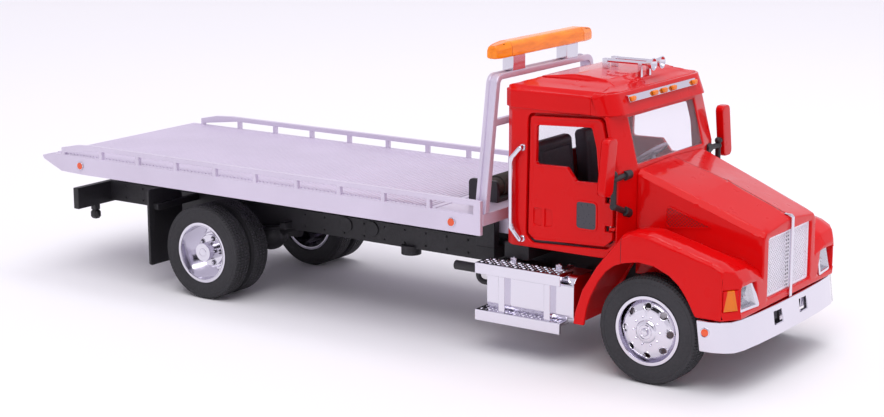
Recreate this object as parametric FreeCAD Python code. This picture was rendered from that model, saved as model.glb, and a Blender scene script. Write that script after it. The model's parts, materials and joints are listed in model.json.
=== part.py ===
import FreeCAD, Part
import math
import os

# Flatbed tow truck, a die-cast toy at 1:32. Millimetres, +X forward, +Y left, +Z up.
# Lengths along X are measured forward of the rear axle until the last step,
# which moves the middle of the footprint to the origin.

# Wheels
wheel_base = 174.3
tyre_radius = 16.4
tyre_bead_radius = 10.6
front_tyre_width = 9.0
rear_tyre_width = 7.6
front_face_y = 37.3
rear_face_y = 37.8
twin_gap = 2.0
tyre_shares = ((0.10, 0.0), (0.0, 0.45), (0.04, 0.86), (0.14, 1.0),
               (0.86, 1.0), (0.96, 0.86), (1.0, 0.45), (0.90, 0.0))
rim_wall = 1.0
rim_lip_depth = 0.4
axle_radius = 1.2
axle_clearance = 0.05
hub_cap_wall = 0.7
# Front disc: depth behind the tyre's face and radius, as shares of the bead radius
front_disc_shares = ((0.27, 0.906), (0.09, 0.78), (0.02, 0.60), (0.02, 0.34), (-0.055, 0.29),
                     (-0.075, 0.20))
front_disc_thick = 1.1
hand_hole_count = 8
hand_hole_radius = 1.15
hand_hole_circle = 7.4
rear_disc_depth = 6.6
rear_disc_thick = 1.4
rear_hub_radius = 3.2
rear_hub_depth = 1.0
rear_flange_radius = 5.4
rear_flange_depth = 5.2

# Reaches ahead of the front axle, and setbacks behind it
frame_front_reach = 18.7
sump_rear_setback = 26.3
sump_front_setback = 6.3
gearbox_rear_setback = 50.3
cab_rear_setback = 54.1
cab_front_setback = 12.6
door_rear_setback = 45.6
door_front_setback = 15.8
hinge_setback = 16.8
handle_rear_setback = 43.9
handle_front_setback = 37.0
seat_rear_setback = 50.3
seat_front_setback = 33.3
dash_rear_setback = 23.3
wheel_setback = 27.3
hood_front_reach = 28.1
fender_rear_setback = 25.0
lamp_face_reach = 28.6
bumper_front_reach = 29.9
bumper_rear_reach = 18.1
visor_rear_setback = 23.7
horn_rear_setback = 34.8
horn_front_setback = 17.9
mirror_setback = 13.7
grab_setback = 51.0
grab_foot_setback = 47.7
step_rear_setback = 60.4
step_front_setback = 29.5
tank_rear_setback = 57.8
tank_front_setback = 26.3
battery_rear_setback = 56.3
pipe_rear_setback = 72.9
strap_starts = (5.5, 22.0)

# Places measured back from the front end of the bed
bed_cab_gap = 4.1
deck_groove_inset = 18.3
sill_front_inset = 2.6
tilt_front_inset = 6.1
rack_rear_inset = 3.9
light_rear_inset = 5.1
winch_rear_inset = 16.6
winch_front_inset = 5.6
bed_rest_inset = 13.5
rack_depth = 4.1
light_depth = 6.0
marker_rear_inset = 7.0
marker_front_inset = 10.7
cab_rear_x = wheel_base - cab_rear_setback
bed_front_x = cab_rear_x - bed_cab_gap

# Half widths kept by what stands in or on the cab and the frame
screen_margin = 9.5
rear_window_margin = 9.5
dash_margin = 5.3
seat_outer_margin = 6.5
strip_margin = 9.0
hinge_root_margin = 5.0
arm_foot_margin = 5.9
arm_bar_overhang = 3.4
mirror_inner_overhang = 3.2
mirror_outer_overhang = 8.8
frame_inner_margin = 3.0
spring_inner_overhang = 0.6
spring_outer_overhang = 3.8
tilt_inner_margin = 2.6
tilt_outer_margin = 0.4
tilt_flange_overhang = 1.6
sill_outer_overhang = 3.1
bed_rest_inner_overhang = 3.6
bed_rest_outer_overhang = 6.6

# Chassis frame
frame_low_z = 23.0
frame_high_z = 30.5
frame_half_width = 13.8
frame_inner_y = frame_half_width - frame_inner_margin
frame_web = 1.0
frame_front_x = wheel_base + frame_front_reach
cross_thick = 3.0
cross_drop = 1.0
cross_count = 6
carrier_half_length = 5.5
carrier_low_radius = 3.6
cab_mount_length = 6.0
cab_mount_x_shares = (0.12, 0.72)
pivot_x = -63.0
pivot_z = 33.7
pivot_pin_radius = 1.0
pivot_lug_radius = 2.4
pivot_lug_thick = 2.0
bed_rest_x = bed_front_x - bed_rest_inset
bed_rest_length = 7.0
bed_rest_inner_y = frame_half_width + bed_rest_inner_overhang
bed_rest_outer_y = frame_half_width + bed_rest_outer_overhang
bed_rest_low_z = 25.5
bed_rest_slope = 3.4
boss_radius = 2.6
boss_height = 0.5
boss_xs = (45.0, 56.1)
boss_z = 27.6
stub_radius = 3.4
stub_x = 71.2
stub_low_z = 20.8
spring_inner_y = frame_half_width + spring_inner_overhang
spring_outer_y = frame_half_width + spring_outer_overhang
spring_half_length = 20.0
spring_leaf = 1.1
spring_leaves = 3
spring_leaf_step = 4.5
spring_sag = 2.2
spring_high_z = 24.6

# Driveline moulded under the frame
sump_rear_x = wheel_base - sump_rear_setback
sump_front_x = wheel_base - sump_front_setback
sump_half_width = 6.6
sump_low_z = 14.0
gearbox_rear_x = wheel_base - gearbox_rear_setback
gearbox_half_width = 4.6
gearbox_low_z = 17.5
shaft_radius = 1.7
shaft_z = 22.2
shaft_knee_x = 18.0
differential_radius = 6.2
differential_neck = 2.8

# Rear bar with its two lugs
bar_rear_x = -68.4
bar_front_x = -65.8
bar_half_width = 30.5
bar_low_z = 22.3
bar_high_z = 30.2
lug_inner_y = 19.5
lug_width = 2.4
lug_neck = 1.9
lug_knob = 3.3
lug_swell = 0.5
lug_chamfer = 0.9

# Mud flaps
flap_x = -25.0
flap_thick = 1.0
flap_inner_y = 20.4
flap_outer_y = 37.4
flap_low_z = 8.4
flap_high_z = 35.6
flap_arm = 2.2
flap_arm_z = 28.3

# Tilting subframe
tilt_low_z = 31.2
tilt_high_z = 36.4
tilt_inner_y = frame_half_width - tilt_inner_margin
tilt_outer_y = frame_half_width - tilt_outer_margin
tilt_flange_y = frame_half_width + tilt_flange_overhang
tilt_flange = 1.2
tilt_front_x = bed_front_x - tilt_front_inset
tilt_cross_count = 5
tilt_cross_width = 4.0
tilt_cross_start = 7.2
slide_gap = 0.3

# Bed
bed_tail_x = -75.2
deck_high_z = 44.25
deck_thick = 1.6
deck_half_width = 36.7
deck_tail_drop = 1.3
deck_tail_ramp = 5.0
deck_groove_x = bed_front_x - deck_groove_inset
deck_groove_width = 0.6
deck_groove_depth = 0.4
front_slab_low_z = 40.5
rib_low_z = 40.9
rib_thick = 1.2
side_thick = 1.6
side_low_z = 37.75
side_high_z = 48.75
slot_low_z = 44.3
slot_high_z = 47.05
slot_pitch = 17.8
post_width = 1.5
first_post_x = -46.75
slot_count = int((bed_front_x - first_post_x) / slot_pitch)
rail_end_x = -65.4
rail_end_high_z = 46.7
rail_curve_x = -50.0
rail_curve_drop = 0.5
nose_low_x = -56.0
sill_outer_y = frame_half_width + sill_outer_overhang
sill_lip = 1.0
sill_web = 2.0
sill_shelf = 1.5
sill_rear_x = -59.0
sill_front_x = bed_front_x - sill_front_inset
marker_radius = 1.25
marker_proud = 0.5
marker_xs = (pivot_x + marker_rear_inset, bed_front_x - marker_front_inset)
marker_z = 40.95

# Headache rack and its light bar
rack_rear_x = bed_front_x - rack_rear_inset
rack_front_x = rack_rear_x + rack_depth
rack_foot_y = 36.3
rack_top_y = 28.9
rack_high_z = 87.0
rack_bar = 1.9
rack_corner = 3.4
rack_groove = 0.35
rack_groove_width = 1.5
rack_tie_low_z = 70.9
rack_tie_high_z = 73.1
light_rear_x = bed_front_x - light_rear_inset
light_front_x = light_rear_x + light_depth
light_low_z = 91.6
light_high_z = 96.5
light_half_width = 29.0
light_end = 7.2
light_shares = ((0.0, 0.12), (0.0, 0.62), (0.16, 1.0), (0.84, 1.0), (1.0, 0.62), (1.0, 0.12),
                (0.92, 0.0), (0.08, 0.0))
light_end_shrink = 0.62
light_post_inner_y = 12.6
light_post_outer_y = 19.6
light_post_length = 4.0

# Winch at the front of the deck
winch_rear_x = bed_front_x - winch_rear_inset
winch_front_x = bed_front_x - winch_front_inset
winch_half_width = 20.0
winch_plate = 1.4
winch_drum_radius = 2.4
winch_flange_radius = 3.4
winch_high_z = 51.2
winch_base = 1.0
winch_motor_length = 9.0

# Cab
cab_front_x = wheel_base - cab_front_setback
cab_low_z = 34.5
cab_high_z = 88.0
cab_half_width = 30.5
cab_wall = 1.4
# Side view, plan and front view of the cab's outer form
cab_cowl_share = (1.0, 0.518)
cab_header_share = (0.908, 0.79)
cab_brow_share = (0.86, 0.929)
cab_roof_shares = (cab_brow_share, (0.70, 0.985), (0.42, 1.0), (0.16, 0.97), (0.0, 0.93))
cab_side_shares = ((0.0, 0.0), (1.0, 0.0), cab_cowl_share, cab_header_share) + cab_roof_shares
cab_plan_shares = ((0.0, -0.94), (0.06, -1.0), (0.96, -1.0), (1.0, -0.72),
                   (1.0, 0.72), (0.96, 1.0), (0.06, 1.0), (0.0, 0.94))
# A raised band round the cab under the roof, as shares of its height
cab_band_shares = (0.809, 0.914)
cab_band_proud = 0.5
cab_arch_shares = ((-1.0, 0.0), (-1.0, 0.90), (-0.93, 0.935), (-0.66, 0.968), (-0.62, 1.0),
                   (0.62, 1.0), (0.66, 0.968), (0.93, 0.935), (1.0, 0.90), (1.0, 0.0))
# Where the windscreen starts and ends between the cowl and the header
screen_shares = (0.02, 0.98)
screen_half_width = cab_half_width - screen_margin
glass_thick = 0.8
rear_window_half_width = cab_half_width - rear_window_margin
rear_window_height_shares = (0.45, 0.80)

# Doors
door_rear_x = wheel_base - door_rear_setback
door_front_x = wheel_base - door_front_setback
door_low_z = 37.1
door_header = 11.2
door_gap = 1.0
door_shares = ((0.02, 0.97), (0.83, 1.0), (0.868, 0.97), (0.91, 0.83), (1.0, 0.42),
               (0.997, 0.085), (0.906, 0.03), (0.08, 0.0), (0.0, 0.05))
door_corner = 1.2
door_window_shares = ((0.097, 0.905), (0.745, 0.93), (0.80, 0.78), (0.835, 0.512),
                      (0.567, 0.505), (0.46, 0.605), (0.09, 0.60))
door_window_corner = 0.9
hinge_x = wheel_base - hinge_setback
hinge_pin_radius = 0.4
hinge_clearance = 0.05
hinge_low_z = 43.2
hinge_high_z = 52.0
hinge_lug = 1.2
hinge_notch = 1.7
hinge_arm_reach = 1.5
hinge_root_y = cab_half_width - hinge_root_margin
handle_rear_x = wheel_base - handle_rear_setback
handle_front_x = wheel_base - handle_front_setback
handle_low_z = 41.8
handle_high_z = 47.3
handle_recess = 0.5
handle_grip = 1.1
handle_corner = 1.0

# Cab interior
floor_thick = 1.2
seat_rear_x = wheel_base - seat_rear_setback
seat_front_x = wheel_base - seat_front_setback
seat_inner_y = 4.0
seat_outer_y = cab_half_width - seat_outer_margin
seat_high_z = 47.0
seat_back_high_z = 66.0
seat_back_thick = 4.2
seat_back_lean = 3.0
seat_corner = 1.6
dash_rear_x = wheel_base - dash_rear_setback
dash_low_z = 49.0
dash_high_z = 60.6
dash_half_width = cab_half_width - dash_margin
dash_shares = ((0.0, 0.25), (0.22, 0.0), (1.0, 0.0), (1.0, 0.80), (0.62, 1.0), (0.16, 0.86))
wheel_y = 13.5
wheel_x = wheel_base - wheel_setback
wheel_z = 59.0
wheel_ring_radius = 5.6
wheel_ring_thick = 0.6
wheel_ring_sides = 8
wheel_tilt = 55.0
wheel_spoke_radius = 0.4
column_radius = 0.8

# Hood, fenders and front
hood_front_x = wheel_base + hood_front_reach
hood_wall = 1.3
hood_low_z = 29.0
hood_edge = 1.6
# Sections of the hood: share of its length, half width, ridge and crease heights
hood_station_shares = (0.0, 0.48, 0.93, 1.0)
hood_half_widths = (21.8, 20.2, 18.5, 18.2)
hood_ridge_zs = (61.2, 53.9, 46.9, 45.6)
hood_crease_zs = (62.0, 56.3, 48.9, 47.5)
fender_outer_y = 37.6
fender_low_z = 14.8
fender_high_z = 46.0
fender_rear_x = wheel_base - fender_rear_setback
# Fender's outline: share of its length and of its height over the low edge
fender_shares = ((0.0, 0.0), (1.0, 0.0), (1.0, 0.63), (0.97, 0.725), (0.886, 0.808), (0.66, 0.917),
                 (0.47, 1.0), (0.37, 1.0), (0.305, 0.962), (0.144, 0.622), (0.055, 0.365),
                 (0.012, 0.13))
# Sections across the fender: share of its width and how far its top falls there
fender_crown = ((0.0, 4.2), (0.46, 0.6), (0.80, 0.0), (0.94, 0.5), (1.0, 1.6))
# Wheel arch around the front axle, in tyre radii
arch_shares = ((-1.32, -0.20), (-1.25, 0.21), (-1.17, 0.47), (-1.02, 0.76), (-0.86, 0.98),
               (-0.70, 1.11), (-0.51, 1.19), (-0.20, 1.25), (0.13, 1.22), (0.44, 1.09),
               (0.63, 0.94), (0.77, 0.76), (0.86, 0.61), (0.92, 0.50), (0.985, 0.39),
               (1.01, 0.28), (1.01, -0.20))
corner_length = 3.9
grille_half_width = 14.9
grille_low_z = 25.6
grille_high_z = 43.8
grille_corner = 0.9
grille_recess = 0.8
grille_thick = 1.0
grille_cols = 14
grille_rows = 9
grille_bar = 0.6
grille_rim = 0.7
spine_width = 1.5
spine_proud = 0.8
spine_rise = 1.0
spine_hook = 2.0
lamp_low_z = 25.1
lamp_high_z = 32.7
lamp_face_x = wheel_base + lamp_face_reach
lamp_outer_y = 32.3
lamp_inner_low_y = 21.1
lamp_inner_high_y = 22.8
lamp_lean = 1.4
lamp_sweep = 1.2
lamp_depth = 3.2
lamp_corner = 0.7
# Along the slanted corner outside the headlamp
signal_start = 1.2
signal_end = 6.0
signal_depth = 1.0
signal_proud = 0.35
signal_low_z = 26.1
signal_high_z = 32.2

# Bumper
bumper_front_x = wheel_base + bumper_front_reach
bumper_rear_x = wheel_base + bumper_rear_reach
bumper_low_z = 13.7
bumper_high_z = 22.9
bumper_half_width = 38.6
bumper_wall = 1.3
bumper_lean = 1.2
bumper_shares = ((0.0, -1.0), (0.34, -0.99), (0.60, -0.96), (0.81, -0.905), (0.90, -0.80),
                 (0.96, -0.58), (1.0, -0.24), (1.0, 0.24), (0.96, 0.58), (0.90, 0.80),
                 (0.81, 0.905), (0.60, 0.96), (0.34, 0.99), (0.0, 1.0))
tow_slot_y = 8.8
tow_slot_width = 5.6
tow_slot_low_z = 17.1
tow_slot_high_z = 20.9

# Roof pieces
visor_reach = 2.5
visor_height = 6.4
visor_rear_x = wheel_base - visor_rear_setback
visor_thick = 0.8
visor_corner = 6.5
strip_half_width = cab_half_width - strip_margin
strip_height_shares = (0.16, 0.47)
strip_thick = 0.9
lamp_ball_length = 2.6
lamp_ball_height = 1.5
lamp_ball_depth = 1.0
roof_lamp_shares = (-0.92, -0.28, 0.0, 0.28, 0.92)
horn_rear_x = wheel_base - horn_rear_setback
horn_front_x = wheel_base - horn_front_setback
horn_y = 2.7
horn_rise = 2.3
horn_throat = 0.6
horn_bell = 2.0
horn_bell_length = 3.0
horn_block = 1.8

# Mirrors
mirror_x = wheel_base - mirror_setback
mirror_depth = 2.6
mirror_inner_y = cab_half_width + mirror_inner_overhang
mirror_outer_y = cab_half_width + mirror_outer_overhang
mirror_lean = 2.6
mirror_low_z = 55.8
mirror_high_z = 72.7
mirror_corner = 1.8
# Each mirror bracket: two feet on the cab, a bar outside them, a stub to the mirror
arm_radius = 0.9
arm_knuckle_radius = 1.15
arm_foot_y = cab_half_width - arm_foot_margin
arm_foot_zs = (48.2, 60.2)
arm_bar_y = cab_half_width + arm_bar_overhang
arm_bar_zs = (51.8, 59.8)
arm_boss_radius = 1.5
arm_boss_length = 1.6
arm_stub_rise = 1.6

# Grab handles behind the doors
grab_x = wheel_base - grab_setback
grab_foot_x = wheel_base - grab_foot_setback
grab_stand = 1.6
grab_radius = 0.75
grab_high_z = 65.6
grab_low_z = 37.0
grab_bend = 3.6

# Step and tank units below the cab
step_rear_x = wheel_base - step_rear_setback
step_front_x = wheel_base - step_front_setback
step_outer_y = 38.0
step_inner_y = 30.0
step_high_z = 29.2
step_low_z = 10.7
step_lip = 3.5
step_plate = 1.1
tank_rear_x = wheel_base - tank_rear_setback
tank_front_x = wheel_base - tank_front_setback
tank_radius = 7.6
tank_corner = 3.6
tank_y = 27.4
tank_z = 20.8
strap_width = 2.2
strap_thick = 0.5
strap_xs = tuple(tank_rear_x + behind for behind in strap_starts)
tank_arm_width = 3.0
battery_rear_x = wheel_base - battery_rear_setback
battery_length = 9.0
pipe_rear_x = wheel_base - pipe_rear_setback
pipe_y = 30.0
pipe_z = 25.0
pipe_radius = 1.5

# One overrun for every cut that goes right through
overrun = 1.0

# A corner whose half angle has a smaller cosine counts as straight and gets no arc
straight_cosine = 0.02
full_turn = 360


def vec(x, y, z):
    return FreeCAD.Vector(x, y, z)


# A closed wire through points, each corner turned by an arc of the given radius
def rounded_wire(points, radius):
    count = len(points)
    entries = []
    for index, corner in enumerate(points):
        before = (points[index - 1] - corner).normalize()
        after = (points[(index + 1) % count] - corner).normalize()
        half = before.getAngle(after) / 2
        if radius <= 0 or abs(math.cos(half)) < straight_cosine:
            entries.append((corner, None, corner))
            continue
        inward = (before + after).normalize()
        reach = radius / math.tan(half)
        start = corner + before * reach
        end = corner + after * reach
        middle = corner + inward * (radius / math.sin(half) - radius)
        entries.append((start, middle, end))
    edges = []
    for index, (start, middle, end) in enumerate(entries):
        if middle is not None:
            edges.append(Part.Arc(start, middle, end).toShape())
        following = entries[(index + 1) % count][0]
        if (following - end).Length > Part.Precision.confusion() * count:
            edges.append(Part.LineSegment(end, following).toShape())
    return Part.Wire(edges)


def plate_xz(points, y_from, y_to, radius=0):
    wire = rounded_wire([vec(x, y_from, z) for x, z in points], radius)
    return Part.Face(wire).extrude(vec(0, y_to - y_from, 0))


def plate_yz(points, x_from, x_to, radius=0):
    wire = rounded_wire([vec(x_from, y, z) for y, z in points], radius)
    return Part.Face(wire).extrude(vec(x_to - x_from, 0, 0))


def plate_xy(points, z_from, z_to, radius=0):
    wire = rounded_wire([vec(x, y, z_from) for x, y in points], radius)
    return Part.Face(wire).extrude(vec(0, 0, z_to - z_from))


def block(x_from, x_to, y_from, y_to, z_from, z_to):
    return Part.makeBox(x_to - x_from, y_to - y_from, z_to - z_from, vec(x_from, y_from, z_from))


def rod(start, end, radius):
    return Part.makeCylinder(radius, (end - start).Length, start, end - start)


# Points given as shares of a rectangle
def spread(shares, low_a, high_a, low_b, high_b):
    return [(low_a + a * (high_a - low_a), low_b + b * (high_b - low_b)) for a, b in shares]


def corners(low_a, high_a, low_b, high_b):
    return [(low_a, low_b), (high_a, low_b), (high_a, high_b), (low_a, high_b)]


# A solid turned about an axis along Y through (x, z); profile points are (radius, y)
def turned(profile, x, z):
    wire = rounded_wire([vec(x, y, z + radius) for radius, y in profile], 0)
    return Part.Face(wire).revolve(vec(x, 0, z), vec(0, 1, 0), full_turn)


def mirrored(shape):
    return shape.mirror(vec(0, 0, 0), vec(0, 1, 0))


def both_sides(shape):
    return Part.makeCompound([shape, mirrored(shape)])


def joined(shapes):
    whole = shapes[0].fuse(shapes[1:])
    return whole.removeSplitter()


# Wheels, drawn on the left and mirrored to the right


def tyre(axle_x, face_y, width):
    profile = [(tyre_bead_radius + up * (tyre_radius - tyre_bead_radius), face_y - across * width)
               for across, up in tyre_shares]
    return turned(profile, axle_x, tyre_radius)


def hand_holes(axle_x, face_y):
    holes = []
    for index in range(hand_hole_count):
        angle = 2 * math.pi * index / hand_hole_count
        x = axle_x + hand_hole_circle * math.cos(angle)
        z = tyre_radius + hand_hole_circle * math.sin(angle)
        holes.append(rod(vec(x, face_y - front_tyre_width, z), vec(x, face_y + overrun, z),
                         hand_hole_radius))
    return holes


def front_rim():
    face = front_face_y
    back = face - front_tyre_width + rim_lip_depth
    front = face - rim_lip_depth
    barrel_radius = tyre_bead_radius - rim_wall
    outer = [(radius * tyre_bead_radius, face - depth * tyre_bead_radius)
             for depth, radius in front_disc_shares]
    hub_y = outer[-1][1]
    inner = [(radius, y - front_disc_thick) for radius, y in outer]
    profile = [(tyre_bead_radius, front), (barrel_radius, front)] + outer
    profile += [(0, hub_y), (0, hub_y - front_disc_thick)]
    profile += list(reversed(inner[1:])) + [(barrel_radius, inner[0][1]), (barrel_radius, back)]
    profile += [(tyre_bead_radius, back)]
    rim = turned(profile, wheel_base, tyre_radius)
    rim = rim.cut(Part.makeCompound(hand_holes(wheel_base, face)))
    hub = rod(vec(wheel_base, hub_y - hub_cap_wall, tyre_radius),
              vec(wheel_base, back, tyre_radius), axle_radius + rim_wall)
    pin = rod(vec(wheel_base, 0, tyre_radius), vec(wheel_base, hub_y - hub_cap_wall, tyre_radius),
              axle_radius)
    return joined([rim, hub]).cut(pin)


def rear_rim():
    face = rear_face_y
    back = face - rear_tyre_width * 2 - twin_gap + rim_lip_depth
    front = face - rim_lip_depth
    barrel_radius = tyre_bead_radius - rim_wall
    disc_y = face - rear_disc_depth
    hub_y = face - rear_hub_depth
    flange_y = face - rear_flange_depth
    profile = [(tyre_bead_radius, front), (barrel_radius, front), (barrel_radius, disc_y),
               (rear_flange_radius, disc_y), (rear_flange_radius, flange_y),
               (rear_hub_radius, flange_y), (rear_hub_radius, hub_y), (0, hub_y),
               (0, disc_y - rear_disc_thick), (barrel_radius, disc_y - rear_disc_thick),
               (barrel_radius, back), (tyre_bead_radius, back)]
    rim = turned(profile, 0, tyre_radius)
    hub = rod(vec(0, disc_y, tyre_radius), vec(0, back, tyre_radius), axle_radius + rim_wall)
    pin = rod(vec(0, 0, tyre_radius), vec(0, hub_y - hub_cap_wall, tyre_radius), axle_radius)
    return joined([rim, hub]).cut(pin)


def front_pin():
    hub_depth = front_disc_shares[-1][0] * tyre_bead_radius
    end_y = front_face_y - hub_depth - hub_cap_wall
    return rod(vec(wheel_base, -end_y, tyre_radius), vec(wheel_base, end_y, tyre_radius),
               axle_radius)


def rear_pin():
    end_y = rear_face_y - rear_hub_depth - hub_cap_wall
    return rod(vec(0, -end_y, tyre_radius), vec(0, end_y, tyre_radius), axle_radius)


# Chassis frame: two channel rails, cross members, axle carriers, pivot lugs, bed rests


def axle_bore(axle_x):
    reach = frame_half_width + spring_outer_y
    return rod(vec(axle_x, -reach, tyre_radius), vec(axle_x, reach, tyre_radius),
               axle_radius + axle_clearance)


def axle_carrier(axle_x):
    low = tyre_radius - carrier_low_radius
    points = [(axle_x - carrier_half_length, frame_low_z + frame_web),
              (axle_x - carrier_low_radius, low), (axle_x + carrier_low_radius, low),
              (axle_x + carrier_half_length, frame_low_z + frame_web)]
    return plate_xz(points, frame_inner_y, frame_half_width, frame_web)


def frame_rail():
    rail = block(bar_front_x, frame_front_x, frame_inner_y, frame_half_width,
                 frame_low_z, frame_high_z)
    pocket = block(bar_front_x - overrun, frame_front_x + overrun,
                   frame_inner_y - overrun, frame_half_width - frame_web,
                   frame_low_z + frame_web, frame_high_z - frame_web)
    return rail.cut(pocket)


def cross_members():
    members = []
    step = (frame_front_x - bar_front_x - cross_thick) / (cross_count - 1)
    for index in range(cross_count):
        x = bar_front_x + index * step
        members.append(block(x, x + cross_thick, frame_web - frame_half_width,
                             frame_half_width - frame_web,
                             frame_low_z + cross_drop, frame_high_z - cross_drop))
    return members


def pivot_lug():
    points = [(pivot_x - pivot_lug_radius, frame_low_z + frame_web),
              (pivot_x + pivot_lug_radius, frame_low_z + frame_web),
              (pivot_x + pivot_lug_radius, pivot_z), (pivot_x - pivot_lug_radius, pivot_z)]
    inner = frame_inner_y - pivot_lug_thick
    lug = plate_xz(points, inner, frame_inner_y)
    eye = rod(vec(pivot_x, inner, pivot_z), vec(pivot_x, frame_inner_y, pivot_z),
              pivot_lug_radius)
    root = block(pivot_x - pivot_lug_radius, pivot_x + pivot_lug_radius, inner, frame_half_width
                 - frame_web, frame_low_z + frame_web, frame_high_z - frame_web)
    return joined([lug, eye, root])


def bed_rest_shelf():
    return block(bed_rest_x, bed_rest_x + bed_rest_length, frame_half_width - frame_web,
                 bed_rest_outer_y, bed_rest_low_z, frame_high_z - frame_web)


# A post on each shelf, which carries the front of the lowered bed
def bed_rest():
    low = frame_high_z - frame_web
    high = front_slab_low_z - slide_gap
    front = bed_rest_x + bed_rest_length
    return plate_xz([(bed_rest_x, low), (front, low), (front, high), (bed_rest_x + bed_rest_slope, high),
                     (bed_rest_x, high - bed_rest_slope)], bed_rest_inner_y, bed_rest_outer_y)


def side_boss(x):
    start = vec(x, frame_half_width - frame_web, boss_z)
    return rod(start, vec(x, frame_half_width + boss_height, boss_z), boss_radius)


def frame_stub():
    middle = (frame_inner_y + frame_half_width) / 2
    return rod(vec(stub_x, middle, stub_low_z), vec(stub_x, middle, frame_low_z + frame_web),
               stub_radius)


def cab_mounts():
    mounts = []
    for share in cab_mount_x_shares:
        x = cab_rear_x + share * (cab_front_x - cab_rear_x)
        mounts.append(block(x, x + cab_mount_length, frame_inner_y, frame_half_width,
                            frame_high_z, cab_low_z))
    return mounts


def chassis_frame():
    half = [frame_rail(), axle_carrier(0), axle_carrier(wheel_base), pivot_lug(),
            bed_rest_shelf(), frame_stub()]
    half += [side_boss(x) for x in boss_xs] + cab_mounts()
    side = joined(half)
    whole = joined([side, mirrored(side)] + cross_members())
    pivot = rod(vec(pivot_x, -frame_half_width, pivot_z), vec(pivot_x, frame_half_width, pivot_z),
                pivot_pin_radius)
    return whole.cut(Part.makeCompound([axle_bore(0), axle_bore(wheel_base), pivot]))


def pivot_pin():
    return rod(vec(pivot_x, -tilt_outer_y, pivot_z), vec(pivot_x, tilt_outer_y, pivot_z),
               pivot_pin_radius)


# Leaf springs beside the rear axle, hung from the rails
def leaf_spring():
    leaves = []
    for index in range(spring_leaves):
        half = spring_half_length - index * spring_leaf_step
        high = spring_high_z - index * spring_leaf
        mid = high - spring_sag
        top = Part.Arc(vec(-half, spring_inner_y, high), vec(0, spring_inner_y, mid),
                       vec(half, spring_inner_y, high)).toShape()
        low = Part.Arc(vec(half, spring_inner_y, high - spring_leaf),
                       vec(0, spring_inner_y, mid - spring_leaf),
                       vec(-half, spring_inner_y, high - spring_leaf)).toShape()
        end = Part.LineSegment(vec(half, spring_inner_y, high),
                               vec(half, spring_inner_y, high - spring_leaf)).toShape()
        start = Part.LineSegment(vec(-half, spring_inner_y, high - spring_leaf),
                                 vec(-half, spring_inner_y, high)).toShape()
        face = Part.Face(Part.Wire([top, end, low, start]))
        leaves.append(face.extrude(vec(0, spring_outer_y - spring_inner_y, 0)))
    hangers = []
    for x in (-spring_half_length, spring_half_length):
        hangers.append(block(x - spring_leaf, x + spring_leaf, frame_half_width, spring_outer_y,
                             spring_high_z - spring_leaf, spring_high_z + spring_leaf))
    return joined(leaves + hangers)


# Sump, gearbox, propeller shaft and differential in one moulding, hung under two cross members
def driveline():
    cross_step = (frame_front_x - bar_front_x - cross_thick) / (cross_count - 1)
    high = frame_low_z + cross_drop
    sump = plate_xz(corners(sump_rear_x, sump_front_x, sump_low_z, high),
                    -sump_half_width, sump_half_width, frame_web)
    gearbox = plate_xz([(gearbox_rear_x, gearbox_low_z), (sump_rear_x + frame_web, sump_low_z
                        + frame_web), (sump_rear_x + frame_web, high), (gearbox_rear_x, high)],
                       -gearbox_half_width, gearbox_half_width)
    knee = vec(shaft_knee_x, 0, shaft_z)
    shaft = joined([rod(vec(0, 0, tyre_radius), knee, shaft_radius),
                    Part.makeSphere(shaft_radius, knee),
                    rod(knee, vec(gearbox_rear_x, 0, shaft_z), shaft_radius)])
    case = Part.makeSphere(differential_radius, vec(0, 0, tyre_radius))
    neck = rod(vec(0, 0, tyre_radius), vec(0, 0, high), differential_neck)
    tie = block(bar_front_x + cross_step, 0, -differential_neck, differential_neck,
                frame_low_z, high)
    whole = joined([sump, gearbox, shaft, case, neck, tie])
    return whole.cut(axle_bore(0))


def rear_bar():
    bar = block(bar_rear_x, bar_front_x, -bar_half_width, bar_half_width, bar_low_z, bar_high_z)
    knob_high = bar_low_z - lug_neck
    knob_low = knob_high - lug_knob
    half = []
    neck = block(bar_rear_x, bar_front_x, lug_inner_y, lug_inner_y + lug_width,
                 knob_high, bar_low_z)
    knob = block(bar_rear_x - lug_swell, bar_front_x + lug_swell, lug_inner_y - lug_swell,
                 lug_inner_y + lug_width + lug_swell, knob_low, knob_high)
    knob = knob.makeChamfer(lug_chamfer, knob.Edges)
    half += [neck, knob]
    return joined([bar] + half + [mirrored(shape) for shape in half])


def mud_flap():
    flap = plate_yz(corners(flap_inner_y, flap_outer_y, flap_low_z, flap_high_z),
                    flap_x, flap_x + flap_thick, flap_thick)
    arm = block(flap_x + flap_thick, flap_x + flap_thick + flap_arm, frame_half_width,
                flap_outer_y - flap_arm, flap_arm_z, flap_arm_z + flap_arm)
    return joined([flap, arm])


# Tilting subframe, whose rails carry an outward flange for the bed to slide on


def tilt_rail():
    middle = vec(pivot_x, tilt_inner_y, pivot_z)
    end_radius = pivot_z - tilt_low_z
    web = block(pivot_x, tilt_front_x, tilt_inner_y, tilt_outer_y, tilt_low_z, tilt_high_z)
    eye = rod(middle, vec(pivot_x, tilt_outer_y, pivot_z), end_radius)
    flange = block(pivot_x + end_radius, tilt_front_x, tilt_inner_y, tilt_flange_y,
                   tilt_high_z - tilt_flange, tilt_high_z)
    return joined([web, eye, flange])


def tilt_crosses():
    start = pivot_x + tilt_cross_start
    step = (tilt_front_x - tilt_cross_width - start) / (tilt_cross_count - 1)
    return [block(start + index * step, start + index * step + tilt_cross_width,
                  -tilt_inner_y, tilt_inner_y, tilt_low_z + tilt_flange, tilt_high_z)
            for index in range(tilt_cross_count)]


def tilt_frame():
    rail = tilt_rail()
    whole = joined([rail, mirrored(rail)] + tilt_crosses())
    bore = rod(vec(pivot_x, -frame_half_width, pivot_z), vec(pivot_x, frame_half_width, pivot_z),
               pivot_pin_radius + axle_clearance)
    return whole.cut(bore)


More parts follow.
